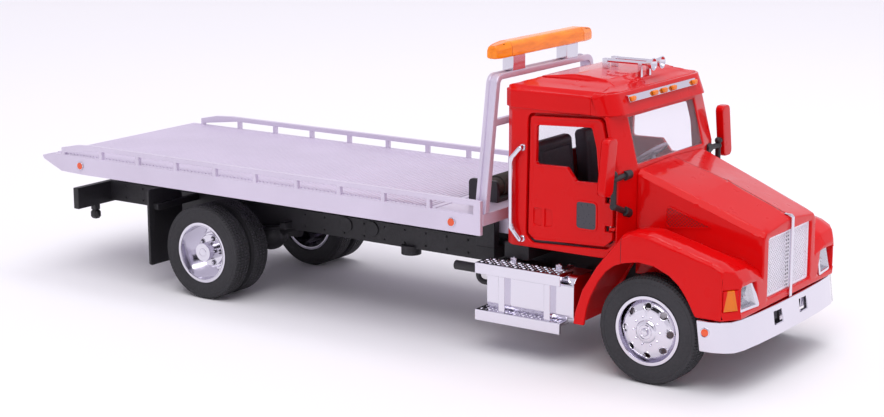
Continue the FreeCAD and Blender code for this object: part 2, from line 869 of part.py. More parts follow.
# Bed: deck with its ribs, sills that hook over the subframe, slotted side rails


def bed_deck():
    low = deck_high_z - deck_thick
    tail = bed_tail_x + slide_gap
    points = [(tail, deck_high_z - deck_tail_drop), (tail + deck_tail_ramp, deck_high_z),
              (bed_front_x, deck_high_z), (bed_front_x, front_slab_low_z),
              (bed_front_x - deck_thick, front_slab_low_z), (bed_front_x - deck_thick, low),
              (tail + deck_tail_ramp, low), (tail, low - deck_tail_drop / 2)]
    deck = plate_xz(points, -deck_half_width, deck_half_width)
    ribs = []
    for index in range(slot_count + 1):
        x = first_post_x + index * slot_pitch
        if x > bed_front_x - slot_pitch / 2:
            continue
        ribs.append(block(x, x + rib_thick, sill_outer_y, deck_half_width, rib_low_z, low))
    ribs += [mirrored(rib) for rib in ribs]
    groove = block(deck_groove_x, deck_groove_x + deck_groove_width, -deck_half_width - overrun,
                   deck_half_width + overrun, deck_high_z - deck_groove_depth,
                   deck_high_z + overrun)
    return joined([deck] + ribs).cut(groove)


def bed_sill():
    low = deck_high_z - deck_thick
    hook_inner = tilt_flange_y + slide_gap
    shelf_low = tilt_high_z + slide_gap
    lip_high = tilt_high_z - tilt_flange - slide_gap
    lip_inner = tilt_outer_y + slide_gap
    points = [(sill_outer_y, lip_high - sill_lip), (sill_outer_y, low),
              (sill_outer_y - sill_web, low), (sill_outer_y - sill_web, shelf_low + sill_shelf),
              (tilt_inner_y, shelf_low + sill_shelf), (tilt_inner_y, shelf_low),
              (hook_inner, shelf_low), (hook_inner, lip_high), (lip_inner, lip_high),
              (lip_inner, lip_high - sill_lip)]
    return plate_yz(points, sill_rear_x, sill_front_x)


def bed_side():
    tip_z = deck_high_z - deck_tail_drop
    points = [(bed_tail_x, tip_z), (bed_tail_x + deck_thick / 2, tip_z - deck_tail_drop),
              (nose_low_x + bed_tail_x - rail_end_x, side_low_z + slide_gap),
              (nose_low_x, side_low_z), (bed_front_x, side_low_z), (bed_front_x, side_high_z),
              (rail_curve_x, side_high_z),
              ((rail_curve_x + rail_end_x) / 2, side_high_z - rail_curve_drop),
              (rail_end_x, rail_end_high_z), (rail_end_x, deck_high_z),
              (bed_tail_x + deck_tail_ramp, deck_high_z)]
    side = plate_xz(points, deck_half_width, deck_half_width + side_thick)
    slots = []
    for index in range(slot_count):
        x = first_post_x + post_width + index * slot_pitch
        end = min(x + slot_pitch - post_width, bed_front_x - post_width)
        slots.append(block(x, end, deck_half_width - overrun,
                           deck_half_width + side_thick + overrun, slot_low_z, slot_high_z))
    first = [(rail_end_x + post_width, slot_low_z), (first_post_x, slot_low_z),
             (first_post_x, slot_high_z),
             (rail_end_x + post_width, rail_end_high_z - side_high_z + slot_high_z)]
    slots.append(plate_xz(first, deck_half_width - overrun,
                          deck_half_width + side_thick + overrun))
    for x in marker_xs:
        slots.append(marker(x))
    return side.cut(Part.makeCompound(slots))


def marker(x):
    face = deck_half_width + side_thick
    return rod(vec(x, face - marker_proud, marker_z), vec(x, face + marker_proud, marker_z),
               marker_radius)


def bed_markers():
    lamps = [marker(x) for x in marker_xs]
    return Part.makeCompound(lamps + [mirrored(lamp) for lamp in lamps])


# Headache rack: one bent flat bar with a lengthwise groove and a tie between the legs


def rack_outline(inset, drop):
    foot = rack_foot_y - inset
    top = rack_top_y - inset
    return [(-foot, deck_high_z - drop), (-top, rack_high_z - inset), (top, rack_high_z - inset),
            (foot, deck_high_z - drop)]


def rack_plate(inset, drop, x_from, x_to):
    return plate_yz(rack_outline(inset, drop), x_from, x_to, max(rack_corner - inset, rack_groove))


def headache_rack():
    outer = rack_plate(0, rack_corner, rack_rear_x, rack_front_x)
    inner = rack_plate(rack_bar, rack_corner * 2, rack_rear_x - overrun, rack_front_x + overrun)
    middle = (rack_rear_x + rack_front_x) / 2
    groove_from = middle - rack_groove_width / 2
    groove_to = middle + rack_groove_width / 2
    rim = rack_plate(-overrun, rack_corner, groove_from, groove_to)
    rim = rim.cut(rack_plate(rack_groove, rack_corner * 2, groove_from - overrun,
                             groove_to + overrun))
    frame = outer.cut(inner).cut(rim)
    tie = rack_plate(rack_bar / 2, rack_corner, rack_front_x - rack_bar, rack_front_x)
    tie = tie.common(block(rack_rear_x, rack_front_x, -rack_foot_y, rack_foot_y,
                           rack_tie_low_z, rack_tie_high_z))
    above = block(rack_rear_x - overrun, rack_front_x + overrun, -rack_foot_y - overrun,
                  rack_foot_y + overrun, deck_high_z, rack_high_z + overrun)
    return joined([frame, tie]).common(above)


def light_section(y, shrink):
    x_middle = (light_rear_x + light_front_x) / 2
    x_half = (light_front_x - light_rear_x) / 2 * shrink
    z_span = (light_high_z - light_low_z) * (1 + shrink) / 2
    points = spread(light_shares, x_middle - x_half, x_middle + x_half, light_low_z,
                    light_low_z + z_span)
    return rounded_wire([vec(x, y, z) for x, z in points], 0)


def light_bar():
    shoulder = light_half_width - light_end
    wires = [light_section(-light_half_width, light_end_shrink), light_section(-shoulder, 1),
             light_section(shoulder, 1), light_section(light_half_width, light_end_shrink)]
    return Part.makeLoft(wires, True, True)


def light_post():
    middle = (light_rear_x + light_front_x) / 2
    return plate_yz([(light_post_inner_y, rack_high_z), (light_post_outer_y, rack_high_z),
                     (light_post_outer_y, light_low_z), (light_post_inner_y, light_low_z)],
                    middle - light_post_length / 2, middle + light_post_length / 2)


def winch():
    middle = (winch_rear_x + winch_front_x) / 2
    drum_z = winch_high_z - winch_flange_radius
    base = block(winch_rear_x, winch_front_x, -winch_half_width, winch_half_width,
                 deck_high_z, deck_high_z + winch_base)
    plates = []
    for y in (-winch_half_width, winch_half_width - winch_plate - winch_motor_length):
        plates.append(plate_xz(corners(winch_rear_x, winch_front_x, deck_high_z, winch_high_z),
                               y, y + winch_plate, winch_plate))
    motor_y = winch_half_width - winch_motor_length
    drum = rod(vec(middle, -winch_half_width, drum_z), vec(middle, motor_y, drum_z),
               winch_drum_radius)
    motor = rod(vec(middle, motor_y - winch_plate, drum_z), vec(middle, winch_half_width, drum_z),
                winch_flange_radius)
    return joined([base, drum, motor] + plates)


# Cab: where the side view, the plan and the front view all agree


def cab_arch(inset):
    low_z = cab_low_z + inset
    high_z = cab_high_z - inset
    half = cab_half_width - inset
    return plate_yz([(a * half, low_z + b * (high_z - low_z)) for a, b in cab_arch_shares],
                    cab_rear_x + inset, cab_front_x - inset)


# The plan, sheared to follow the windscreen's slope above the cowl
def cab_corner_form(inset, low_z, high_z):
    low_x = cab_rear_x + inset
    high_x = cab_front_x - inset
    cowl_x, cowl_z = cab_spot(cab_cowl_share)
    header_x, header_z = cab_spot(cab_header_share)
    slope = (cowl_x - header_x) / (header_z - cowl_z)
    half = cab_half_width - inset
    behind_x = low_x - (high_x - low_x)
    front = [(low_x + a * (high_x - low_x), b * half) for a, b in cab_plan_shares if a > 1 / 2]
    spots = [(behind_x, -half)] + front + [(behind_x, half)]
    shift = slope * (cowl_z - low_z)
    wire = rounded_wire([vec(x + shift, y, low_z) for x, y in spots], 0)
    return Part.Face(wire).extrude(vec(-slope * (high_z - low_z), 0, high_z - low_z))


def cab_form(inset):
    low_x = cab_rear_x + inset
    high_x = cab_front_x - inset
    low_z = cab_low_z + inset
    high_z = cab_high_z - inset
    half = cab_half_width - inset
    side = plate_xz(spread(cab_side_shares, low_x, high_x, low_z, high_z), -half, half)
    plan = plate_xy([(low_x + a * (high_x - low_x), b * half) for a, b in cab_plan_shares],
                    low_z, high_z)
    form = side.common(plan).common(cab_arch(inset)).common(cab_corner_form(inset, low_z, high_z))
    brow = brow_form(inset + visor_thick)
    above = block(visor_rear_x, cab_front_x + overrun, -cab_half_width - overrun,
                  cab_half_width + overrun, cab_band_zs()[0], cab_high_z + overrun)
    return form.cut(above.cut(brow))


def cab_band_zs():
    return [cab_low_z + share * (cab_high_z - cab_low_z) for share in cab_band_shares]


# The brow's outer form, with round front corners, sheared to follow the visor's face
def brow_form(inset):
    top_x, top_z = visor_spot(0)
    slope = visor_reach / visor_height
    low_z = top_z - visor_height - visor_corner
    high_z = cab_high_z + visor_corner
    front = top_x - inset + slope * (top_z - low_z)
    half = cab_half_width + cab_band_proud - inset
    behind_x = cab_rear_x - cab_half_width
    points = [(behind_x, -half), (front, -half), (front, half), (behind_x, half)]
    wire = rounded_wire([vec(x, y, low_z) for x, y in points], visor_corner - inset)
    return Part.Face(wire).extrude(vec(-slope * (high_z - low_z), 0, high_z - low_z))


def cab_band():
    low, high = cab_band_zs()
    slab = block(cab_rear_x - overrun, visor_rear_x, -fender_outer_y, fender_outer_y, low, high)
    return cab_form(-cab_band_proud).common(slab)


def door_plate(grow, y_from, y_to):
    points = spread(door_shares, door_rear_x - grow, door_front_x + grow, door_low_z - grow,
                    cab_high_z - door_header + grow)
    return plate_xz(points, y_from, y_to, door_corner + grow)


# A point of the cab's side view as (x, z)
def cab_spot(share):
    return spread([share], cab_rear_x, cab_front_x, cab_low_z, cab_high_z)[0]


# A slanted slab along the windscreen, from one depth behind the cab's face to another
def screen_slab(depth_from, depth_to):
    cowl_x, cowl_z = cab_spot(cab_cowl_share)
    header_x, header_z = cab_spot(cab_header_share)
    spots = [(cowl_x + share * (header_x - cowl_x), cowl_z + share * (header_z - cowl_z))
             for share in screen_shares]
    points = [(x - depth_from, z) for x, z in spots]
    points += [(x - depth_to, z) for x, z in reversed(spots)]
    return plate_xz(points, -screen_half_width, screen_half_width)


def windscreen():
    recess = (cab_wall - glass_thick) / 2
    return screen_slab(recess, recess + glass_thick)


def windscreen_opening():
    return screen_slab(-overrun, cab_wall + overrun)


# A slab over the rear window's outline, from one depth behind the cab's back to another
def rear_window_slab(depth_from, depth_to):
    low, high = [cab_low_z + share * (cab_high_z - cab_low_z)
                 for share in rear_window_height_shares]
    return block(cab_rear_x + depth_from, cab_rear_x + depth_to, -rear_window_half_width,
                 rear_window_half_width, low, high)


def rear_window():
    recess = (cab_wall - glass_thick) / 2
    return rear_window_slab(recess, recess + glass_thick)


def hinge_y():
    return cab_half_width - cab_wall / 2


# A hinge arm bends inward from the pin to the slanted wall at the cab's front corner
def hinge_lug_at(z):
    y = hinge_y()
    half = cab_wall / 2 - slide_gap / 2
    root_x = cab_front_x - cab_wall / 2
    points = [(hinge_x, y - half), (hinge_x + half, y - half), (root_x - cab_wall, hinge_root_y),
              (root_x, hinge_root_y), (hinge_x + hinge_arm_reach, y + half), (hinge_x, y + half)]
    arm = plate_xy(points, z, z + hinge_lug).common(cab_form(0))
    nose = rod(vec(hinge_x, y, z), vec(hinge_x, y, z + hinge_lug), half)
    return joined([arm, nose])


def cab_shell():
    outer = joined([cab_form(0), cab_band()])
    inner = cab_form(cab_wall)
    shell = outer.cut(inner)
    half = cab_half_width
    openings = [door_plate(door_gap, half - cab_wall - overrun, half + overrun),
                windscreen_opening(), rear_window_slab(-overrun, cab_wall + overrun)]
    openings.append(mirrored(openings[0]))
    shell = shell.cut(Part.makeCompound(openings))
    lugs = [hinge_lug_at(hinge_low_z), hinge_lug_at(hinge_high_z)]
    lugs += [mirrored(lug) for lug in lugs]
    shell = joined([shell] + lugs)
    pin = door_pin()
    return shell.cut(both_sides(pin))


# The hinge pin runs from the low lug to the high one, through the door's edge
def door_pin():
    y = hinge_y()
    return rod(vec(hinge_x, y, hinge_low_z), vec(hinge_x, y, hinge_high_z + hinge_lug),
               hinge_pin_radius)


def door():
    half = cab_half_width
    plate = door_plate(0, half - cab_wall, half)
    window = plate_xz(spread(door_window_shares, door_rear_x, door_front_x, door_low_z,
                             cab_high_z - door_header),
                      half - cab_wall - overrun, half + overrun, door_window_corner)
    recess = plate_xz(corners(handle_rear_x, handle_front_x, handle_low_z, handle_high_z),
                      half - handle_recess, half + overrun, handle_corner)
    middle = (handle_rear_x + handle_front_x) / 2
    grip = block(middle - handle_grip / 2, middle + handle_grip / 2, half - cab_wall,
                 half, handle_low_z - overrun, handle_high_z + overrun)
    cuts = [window, recess]
    y = hinge_y()
    for z in (hinge_low_z, hinge_high_z):
        cuts.append(block(hinge_x - hinge_notch, door_front_x + overrun, half - cab_wall - overrun,
                          half + overrun, z - slide_gap, z + hinge_lug + slide_gap))
    cuts.append(rod(vec(hinge_x, y, hinge_low_z - overrun),
                    vec(hinge_x, y, hinge_high_z + overrun * 2),
                    hinge_pin_radius + hinge_clearance))
    panel = plate.cut(Part.makeCompound(cuts))
    panel = joined([panel, grip.common(plate)])
    return max(panel.Solids, key=lambda solid: solid.Volume)


# Interior


def cab_floor():
    low = cab_low_z + cab_wall
    slab = block(cab_rear_x, cab_front_x, -cab_half_width, cab_half_width, low, low + floor_thick)
    return slab.common(cab_form(cab_wall))


def seat():
    low = cab_low_z + cab_wall + floor_thick
    cushion = plate_xz(corners(seat_rear_x + seat_back_thick, seat_front_x, low, seat_high_z),
                       seat_inner_y, seat_outer_y, seat_corner)
    points = [(seat_rear_x + seat_back_lean, low),
              (seat_rear_x + seat_back_lean + seat_back_thick, low),
              (seat_rear_x + seat_back_thick, seat_back_high_z), (seat_rear_x, seat_back_high_z)]
    back = plate_xz(points, seat_inner_y, seat_outer_y, seat_corner)
    return joined([cushion, back])


def dashboard():
    front = cab_front_x - cab_wall
    points = spread(dash_shares, dash_rear_x, front, dash_low_z, dash_high_z)
    body = plate_xz(points, -dash_half_width, dash_half_width)
    return body.common(cab_form(cab_wall))


def steering_wheel():
    centre = vec(wheel_x, wheel_y, wheel_z)
    tilt = math.radians(wheel_tilt)
    axis = vec(math.cos(tilt), 0, -math.sin(tilt))
    section = []
    for index in range(wheel_ring_sides):
        angle = 2 * math.pi * index / wheel_ring_sides
        out = wheel_ring_radius + wheel_ring_thick * math.cos(angle)
        section.append(centre + vec(0, out, 0) + axis * (wheel_ring_thick * math.sin(angle)))
    ring = Part.Face(rounded_wire(section, 0)).revolve(centre, axis, full_turn)
    base = centre + axis * ((dash_rear_x + seat_corner - wheel_x) / axis.x)
    column = rod(centre, base, column_radius)
    across = vec(0, wheel_ring_radius, 0)
    up = axis.cross(vec(0, 1, 0)).normalize() * wheel_ring_radius
    spokes = [rod(centre - across, centre + across, wheel_spoke_radius),
              rod(centre, centre - up, wheel_spoke_radius)]
    whole = joined([ring, column] + spokes)
    return whole.cut(dashboard())


# Hood and fenders: one casting, hollow underneath


def hood_section(share, half, ridge_z, crease_z, inset, drop):
    x = cab_front_x + share * (hood_front_x - cab_front_x)
    side = half - inset
    points = [(-side, hood_low_z - drop), (-side, ridge_z - inset - hood_edge),
              (-side + hood_edge, ridge_z - inset), (0, crease_z - inset),
              (side - hood_edge, ridge_z - inset), (side, ridge_z - inset - hood_edge),
              (side, hood_low_z - drop)]
    return rounded_wire([vec(x, y, z) for y, z in points], 0)


def hood_loft(inset, drop):
    wires = [hood_section(share, half, ridge_z, crease_z, inset, drop)
             for share, half, ridge_z, crease_z
             in zip(hood_station_shares, hood_half_widths, hood_ridge_zs, hood_crease_zs)]
    return Part.makeLoft(wires, True, True)


# Fender lofted across its width, its top falling towards the hood and over its outer edge
def fender_loft(inset):
    inner_y = hood_half_widths[-1] - hood_wall + inset
    outer_y = fender_outer_y - inset
    wires = []
    for share, fall in fender_crown:
        points = spread(fender_shares, fender_rear_x + inset, hood_front_x - inset,
                        fender_low_z - inset, fender_high_z - fall - inset)
        y = inner_y + share * (outer_y - inner_y)
        wires.append(rounded_wire([vec(x, y, z) for x, z in points], 0))
    return Part.makeLoft(wires, True, True)


# A point along the slanted front corner, from the headlamp's outer edge towards the wheel
def corner_spot(along, outward):
    run = math.hypot(corner_length, fender_outer_y - lamp_outer_y)
    run_x = -corner_length / run
    run_y = (fender_outer_y - lamp_outer_y) / run
    return (hood_front_x + along * run_x + outward * run_y,
            lamp_outer_y + along * run_y - outward * run_x)


# Takes off the front corner outside the line of the slanted corner
def corner_wedge(inset):
    reach = corner_length * 2
    points = [corner_spot(-reach, -inset), corner_spot(reach * 2, -inset),
              corner_spot(reach * 2, reach), corner_spot(-reach, reach)]
    return plate_xy(points, fender_low_z - overrun, fender_high_z + overrun)


def wheel_arch():
    points = [(wheel_base + a * tyre_radius, tyre_radius + b * tyre_radius)
              for a, b in arch_shares]
    return plate_xz(points, 0, fender_outer_y + overrun)


def fender():
    outer = fender_loft(0).cut(corner_wedge(0))
    inner = fender_loft(hood_wall).cut(corner_wedge(hood_wall + signal_depth))
    under = block(wheel_base, hood_front_x + overrun, 0, fender_outer_y + overrun,
                  fender_low_z - overrun, bumper_high_z + slide_gap)
    return outer.cut(Part.makeCompound([inner, wheel_arch()])).cut(under)


def hood_and_fenders():
    front_half = hood_half_widths[-1]
    bay_high_z = hood_ridge_zs[-1] - hood_wall * 2
    bay = hood_loft(hood_wall, overrun)
    bay = bay.common(block(cab_front_x - overrun, hood_front_x - hood_wall - grille_recess,
                           -hood_half_widths[0], hood_half_widths[0], 0, cab_high_z))
    bay = joined([bay, block(cab_front_x, hood_front_x - hood_wall - grille_recess,
                             hood_wall - front_half, front_half - hood_wall,
                             hood_low_z - overrun, bay_high_z)])
    side = fender()
    front = block(hood_front_x - hood_wall - grille_recess, hood_front_x, -front_half, front_half,
                  bumper_high_z + slide_gap, bay_high_z)
    whole = joined([hood_loft(0, 0), side, mirrored(side), front])
    cuts = [bay, grille_outline(0, hood_front_x - hood_wall - grille_recess - overrun,
                                hood_front_x + overrun)]
    for shape in (headlamp(), lamp_pocket(), turn_signal()):
        cuts += [shape, mirrored(shape)]
    whole = whole.cut(Part.makeCompound(cuts))
    behind = block(0, cab_front_x, -cab_half_width - overrun, cab_half_width + overrun,
                   cab_low_z, cab_high_z)
    whole = whole.cut(behind)
    return max(whole.Solids, key=lambda solid: solid.Volume)


def grille_outline(inset, x_from, x_to):
    half = grille_half_width - inset
    return plate_yz(corners(-half, half, grille_low_z + inset, grille_high_z - inset),
                    x_from, x_to, grille_corner - inset)


# A lattice set back in its surround: a plate pierced row by row inside a plain rim
def grille():
    x_to = hood_front_x - grille_recess
    x_from = x_to - grille_thick
    plate = grille_outline(0, x_from, x_to)
    half = grille_half_width - grille_rim
    low = grille_low_z + grille_rim
    high = grille_high_z - grille_rim
    y_step = 2 * half / grille_cols
    z_step = (high - low) / grille_rows
    holes = []
    for col in range(grille_cols):
        for row in range(grille_rows):
            y = -half + col * y_step
            z = low + row * z_step
            holes.append(block(x_from - overrun, x_to + overrun,
                               y + grille_bar / 2, y + y_step - grille_bar / 2,
                               z + grille_bar / 2, z + z_step - grille_bar / 2))
    return plate.cut(Part.makeCompound(holes))


# The bar down the middle of the grille hooks back over the hood's front edge
def grille_spine():
    low = bumper_high_z + slide_gap
    top = hood_crease_zs[-1] + spine_rise
    front = hood_front_x + spine_proud
    back = hood_front_x - spine_hook
    bar = plate_xz([(hood_front_x, low), (front, low), (front, top - spine_proud),
                    (front - spine_proud, top), (back, top), (back, top - spine_rise * 2),
                    (hood_front_x, top - spine_rise * 2)], -spine_width / 2, spine_width / 2)
    bar = bar.cut(hood_loft(0, 0))
    return max(bar.Solids, key=lambda solid: solid.Volume)


# The lamp's face leans back towards its top and sweeps back towards its outer edge
def lamp_face():
    spots = [(lamp_inner_low_y, lamp_low_z), (lamp_outer_y, lamp_low_z),
             (lamp_outer_y, lamp_high_z), (lamp_inner_high_y, lamp_high_z)]
    lean = lamp_lean / (lamp_high_z - lamp_low_z)
    sweep = lamp_sweep / (lamp_outer_y - lamp_inner_low_y)
    points = [vec(lamp_face_x - lean * (z - lamp_low_z) - sweep * (y - lamp_inner_low_y), y, z)
              for y, z in spots]
    return Part.Face(rounded_wire(points, lamp_corner))


def headlamp():
    return lamp_face().extrude(vec(-lamp_depth, 0, 0))


def lamp_pocket():
    return lamp_face().extrude(vec(lamp_depth, 0, 0))


def turn_signal():
    points = [corner_spot(signal_start, -signal_depth), corner_spot(signal_end, -signal_depth),
              corner_spot(signal_end, signal_proud), corner_spot(signal_start, signal_proud)]
    return plate_xy(points, signal_low_z, signal_high_z)


# Bumper: a bent chrome shell, leaning back towards its top


def bumper_wire(inset, z, lean):
    front = bumper_front_x - inset - lean
    rear = bumper_rear_x - lean
    half = bumper_half_width - inset
    points = [(rear + a * (front - rear), b * half) for a, b in bumper_shares]
    if inset > 0:
        points[0] = (rear - overrun, points[0][1])
        points[-1] = (rear - overrun, points[-1][1])
    return rounded_wire([vec(x, y, z) for x, y in points], 0)


def bumper_body(inset, low, high):
    return Part.makeLoft([bumper_wire(inset, low, 0), bumper_wire(inset, high, bumper_lean)],
                         True, True)


def bumper():
    shell = bumper_body(0, bumper_low_z, bumper_high_z)
    shell = shell.cut(bumper_body(bumper_wall, bumper_low_z - overrun,
                                  bumper_high_z - bumper_wall))
    slots = []
    for y in (-tow_slot_y, tow_slot_y):
        slots.append(block(bumper_rear_x, bumper_front_x + overrun, y - tow_slot_width / 2,
                           y + tow_slot_width / 2, tow_slot_low_z, tow_slot_high_z))
    brackets = []
    for y in (frame_inner_y, -frame_half_width):
        brackets.append(block(frame_front_x, bumper_front_x - bumper_wall - bumper_lean,
                              y, y + frame_half_width - frame_inner_y,
                              tow_slot_low_z, bumper_high_z - bumper_wall / 2))
        brackets.append(block(frame_front_x, frame_front_x + cross_thick, y,
                              y + frame_half_width - frame_inner_y,
                              tow_slot_low_z, frame_high_z - frame_web))
    return joined([shell.cut(Part.makeCompound(slots))] + brackets)


# Roof pieces


# The visor wraps round the brow and meets the raised band at each side
def sun_visor():
    top_z = visor_spot(0)[1]
    slab = block(visor_rear_x, hood_front_x, -fender_outer_y, fender_outer_y,
                 top_z - visor_height, top_z)
    visor = brow_form(0).common(slab).common(cab_arch(-cab_band_proud))
    visor = visor.cut(joined([cab_form(0), cab_band()]))
    return max(visor.Solids, key=lambda solid: solid.Volume)


# A point on the visor's face as (x, z), from 0 at the cab's brow to 1 at its lower edge
def visor_spot(share):
    brow_x, brow_z = cab_spot(cab_brow_share)
    return brow_x + visor_thick + share * visor_reach, brow_z - share * visor_height


def light_strip():
    face = [visor_spot(share) for share in strip_height_shares]
    points = face + [(x + strip_thick, z) for x, z in reversed(face)]
    return plate_xz(points, -strip_half_width, strip_half_width)


def clearance_lamps():
    face, middle_z = visor_spot(sum(strip_height_shares) / 2)
    face += strip_thick
    lamps = []
    for share in roof_lamp_shares:
        y = share * strip_half_width
        lamp = block(face - lamp_ball_depth, face + lamp_ball_depth, y - lamp_ball_length / 2,
                     y + lamp_ball_length / 2, middle_z - lamp_ball_height / 2,
                     middle_z + lamp_ball_height / 2)
        lamps.append(lamp.cut(light_strip()))
    return Part.makeCompound([max(lamp.Solids, key=lambda solid: solid.Volume) for lamp in lamps])


def roof_z(x):
    spots = [cab_spot(share) for share in cab_roof_shares]
    for (front_x, front_z), (rear_x, rear_z) in zip(spots, spots[1:]):
        if rear_x <= x <= front_x:
            return rear_z + (front_z - rear_z) * (x - rear_x) / (front_x - rear_x)
    return cab_high_z


def air_horn():
    horn_z = cab_high_z + horn_rise
    bell_x = horn_front_x - horn_bell_length
    tube = rod(vec(horn_rear_x, horn_y, horn_z), vec(bell_x, horn_y, horn_z), horn_throat)
    bell = Part.makeCone(horn_throat, horn_bell, horn_bell_length, vec(bell_x, horn_y, horn_z),
                         vec(1, 0, 0))
    low = roof_z(horn_rear_x + horn_block / 2)
    rear = block(horn_rear_x - horn_block / 2, horn_rear_x + horn_block / 2,
                 horn_y - horn_block / 2, horn_y + horn_block / 2, low, horn_z + horn_throat)
    prop_x = bell_x - horn_block
    front = block(prop_x - horn_throat, prop_x + horn_throat, horn_y - horn_throat,
                  horn_y + horn_throat, roof_z(prop_x) - horn_throat, horn_z)
    return joined([tube, bell, rear, front]).cut(cab_form(0))


# Mirrors on arms from the cowl


def mirror_shell():
    points = [(mirror_inner_y + mirror_lean, mirror_low_z),
              (mirror_outer_y + mirror_lean, mirror_low_z),
              (mirror_outer_y, mirror_high_z), (mirror_inner_y, mirror_high_z)]
    return plate_yz(points, mirror_x - mirror_depth / 2, mirror_x + mirror_depth / 2,
                    mirror_corner)


def mirror_arm():
    feet = [vec(mirror_x, arm_foot_y, z) for z in arm_foot_zs]
    elbows = [vec(mirror_x, arm_bar_y, z) for z in arm_bar_zs]
    high = elbows[1] + vec(0, 0, arm_stub_rise)
    pieces = [rod(elbows[0], high, arm_radius),
              rod(high, high + vec(0, mirror_lean + arm_radius, 0), arm_radius)]
    pieces += [Part.makeSphere(arm_knuckle_radius, spot) for spot in elbows + [high]]
    for foot, elbow in zip(feet, elbows):
        outward = (elbow - foot).normalize()
        pieces.append(rod(foot, elbow, arm_radius))
        pieces.append(rod(foot, foot + outward * arm_boss_length * 2, arm_boss_radius))
    return joined(pieces).cut(joined([cab_form(0), mirror_shell(), hood_loft(0, 0)]))


def grab_handle():
    y = cab_half_width + grab_stand
    points = [vec(grab_foot_x, cab_half_width, grab_low_z), vec(grab_foot_x, y, grab_low_z),
              vec(grab_x, y, grab_low_z + grab_bend), vec(grab_x, y, grab_high_z - grab_bend),
              vec(grab_foot_x, y, grab_high_z), vec(grab_foot_x, cab_half_width, grab_high_z)]
    pieces = [rod(start, end, grab_radius) for start, end in zip(points, points[1:])]
    pieces += [Part.makeSphere(grab_radius, point) for point in points[1:-1]]
    return joined(pieces)


# Step and tank units


def step_tread(x_from, x_to, high_z):
    points = [(step_inner_y, high_z), (step_outer_y, high_z), (step_outer_y, high_z - step_lip),
              (step_outer_y - step_plate, high_z - step_lip),
              (step_outer_y - step_plate, high_z - step_plate), (step_inner_y, high_z - step_plate)]
    return plate_yz(points, x_from, x_to)


def tank_form(x_from, x_to, grow):
    reach = tank_radius + grow
    return plate_yz(corners(tank_y - reach, tank_y + reach, tank_z - reach, tank_z + reach),
                    x_from, x_to, tank_corner + grow)


def step_tank():
    low_high_z = step_low_z + step_lip
    tank = tank_form(tank_rear_x, tank_front_x, 0)
    straps = [tank_form(x, x + strap_width, strap_thick) for x in strap_xs]
    steps = [step_tread(step_rear_x, step_front_x, step_high_z),
             step_tread(step_rear_x, step_front_x, low_high_z)]
    stays = []
    for x in strap_xs:
        stays.append(block(x, x + strap_width, tank_y, step_outer_y - step_plate,
                           low_high_z - step_plate, step_high_z - step_plate / 2))
    arms = [block(x, x + tank_arm_width, frame_half_width, tank_y, frame_low_z + frame_web,
                  frame_low_z + frame_web + tank_arm_width) for x in strap_xs]
    return joined([tank] + straps + steps + stays + arms)


def tail_pipe():
    run = rod(vec(pipe_rear_x, pipe_y, pipe_z), vec(tank_rear_x, pipe_y, pipe_z), pipe_radius)
    return run.cut(step_tank())


def battery_box():
    return block(battery_rear_x, battery_rear_x + battery_length, frame_half_width,
                 tank_y, step_high_z, cab_low_z - slide_gap)


def parts():
    made = {
        "chassis_frame": chassis_frame(),
        "pivot_pin": pivot_pin(),
        "bed_rests": both_sides(bed_rest()),
        "rear_springs": both_sides(leaf_spring()),
        "driveline": driveline(),
        "rear_bar": rear_bar(),
        "mud_flaps": both_sides(mud_flap()),
        "front_axle_pin": front_pin(),
        "rear_axle_pin": rear_pin(),
        "front_tyre_left": tyre(wheel_base, front_face_y, front_tyre_width),
        "front_rim_left": front_rim(),
        "rear_outer_tyre_left": tyre(0, rear_face_y, rear_tyre_width),
        "rear_inner_tyre_left": tyre(0, rear_face_y - rear_tyre_width - twin_gap,
                                     rear_tyre_width),
        "rear_rim_left": rear_rim(),
        "tilt_frame": tilt_frame(),
        "bed_deck": bed_deck(),
        "bed_sills": both_sides(bed_sill()),
        "bed_side_left": bed_side(),
        "bed_markers": bed_markers(),
        "headache_rack": headache_rack(),
        "light_bar": light_bar(),
        "light_bar_posts": both_sides(light_post()),
        "winch": winch(),
        "cab_shell": cab_shell(),
        "door_left": door(),
        "door_pins": both_sides(door_pin()),
        "glazing": Part.makeCompound([windscreen(), rear_window()]),
        "cab_floor": cab_floor(),
        "seats": both_sides(seat()),
        "dashboard": dashboard(),
        "steering_wheel": steering_wheel(),
        "hood_and_fenders": hood_and_fenders(),
        "grille": grille(),
        "grille_spine": grille_spine(),
        "headlamps": both_sides(headlamp()),
        "turn_signals": both_sides(turn_signal()),
        "bumper": bumper(),
        "sun_visor": sun_visor(),
        "light_strip": light_strip(),
        "clearance_lamps": clearance_lamps(),
        "air_horns": both_sides(air_horn()),
        "mirror_shells": both_sides(mirror_shell()),
        "mirror_arms": both_sides(mirror_arm()),
        "grab_handles": both_sides(grab_handle()),
        "step_tank_left": step_tank(),
        "tail_pipe": mirrored(tail_pipe()),
        "battery_boxes": both_sides(battery_box()),
    }
    for name in [name for name in made if name.endswith("_left")]:
        made[name.replace("_left", "_right")] = mirrored(made[name])
    return made


def main():
    os.makedirs("parts", exist_ok=True)
    middle_x = (bumper_front_x + bed_tail_x) / 2
    for name, shape in parts().items():
        moved = shape.copy()
        moved.translate(vec(-middle_x, 0, 0))
        moved.exportStep(os.path.join("parts", name + ".step"))
        print(name, len(moved.Solids), "solids", round(moved.Volume), "mm3", moved.isValid())


main()
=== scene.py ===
import bmesh
import bpy
import json
import math
from mathutils import Matrix, Vector
from mathutils.bvhtree import BVHTree

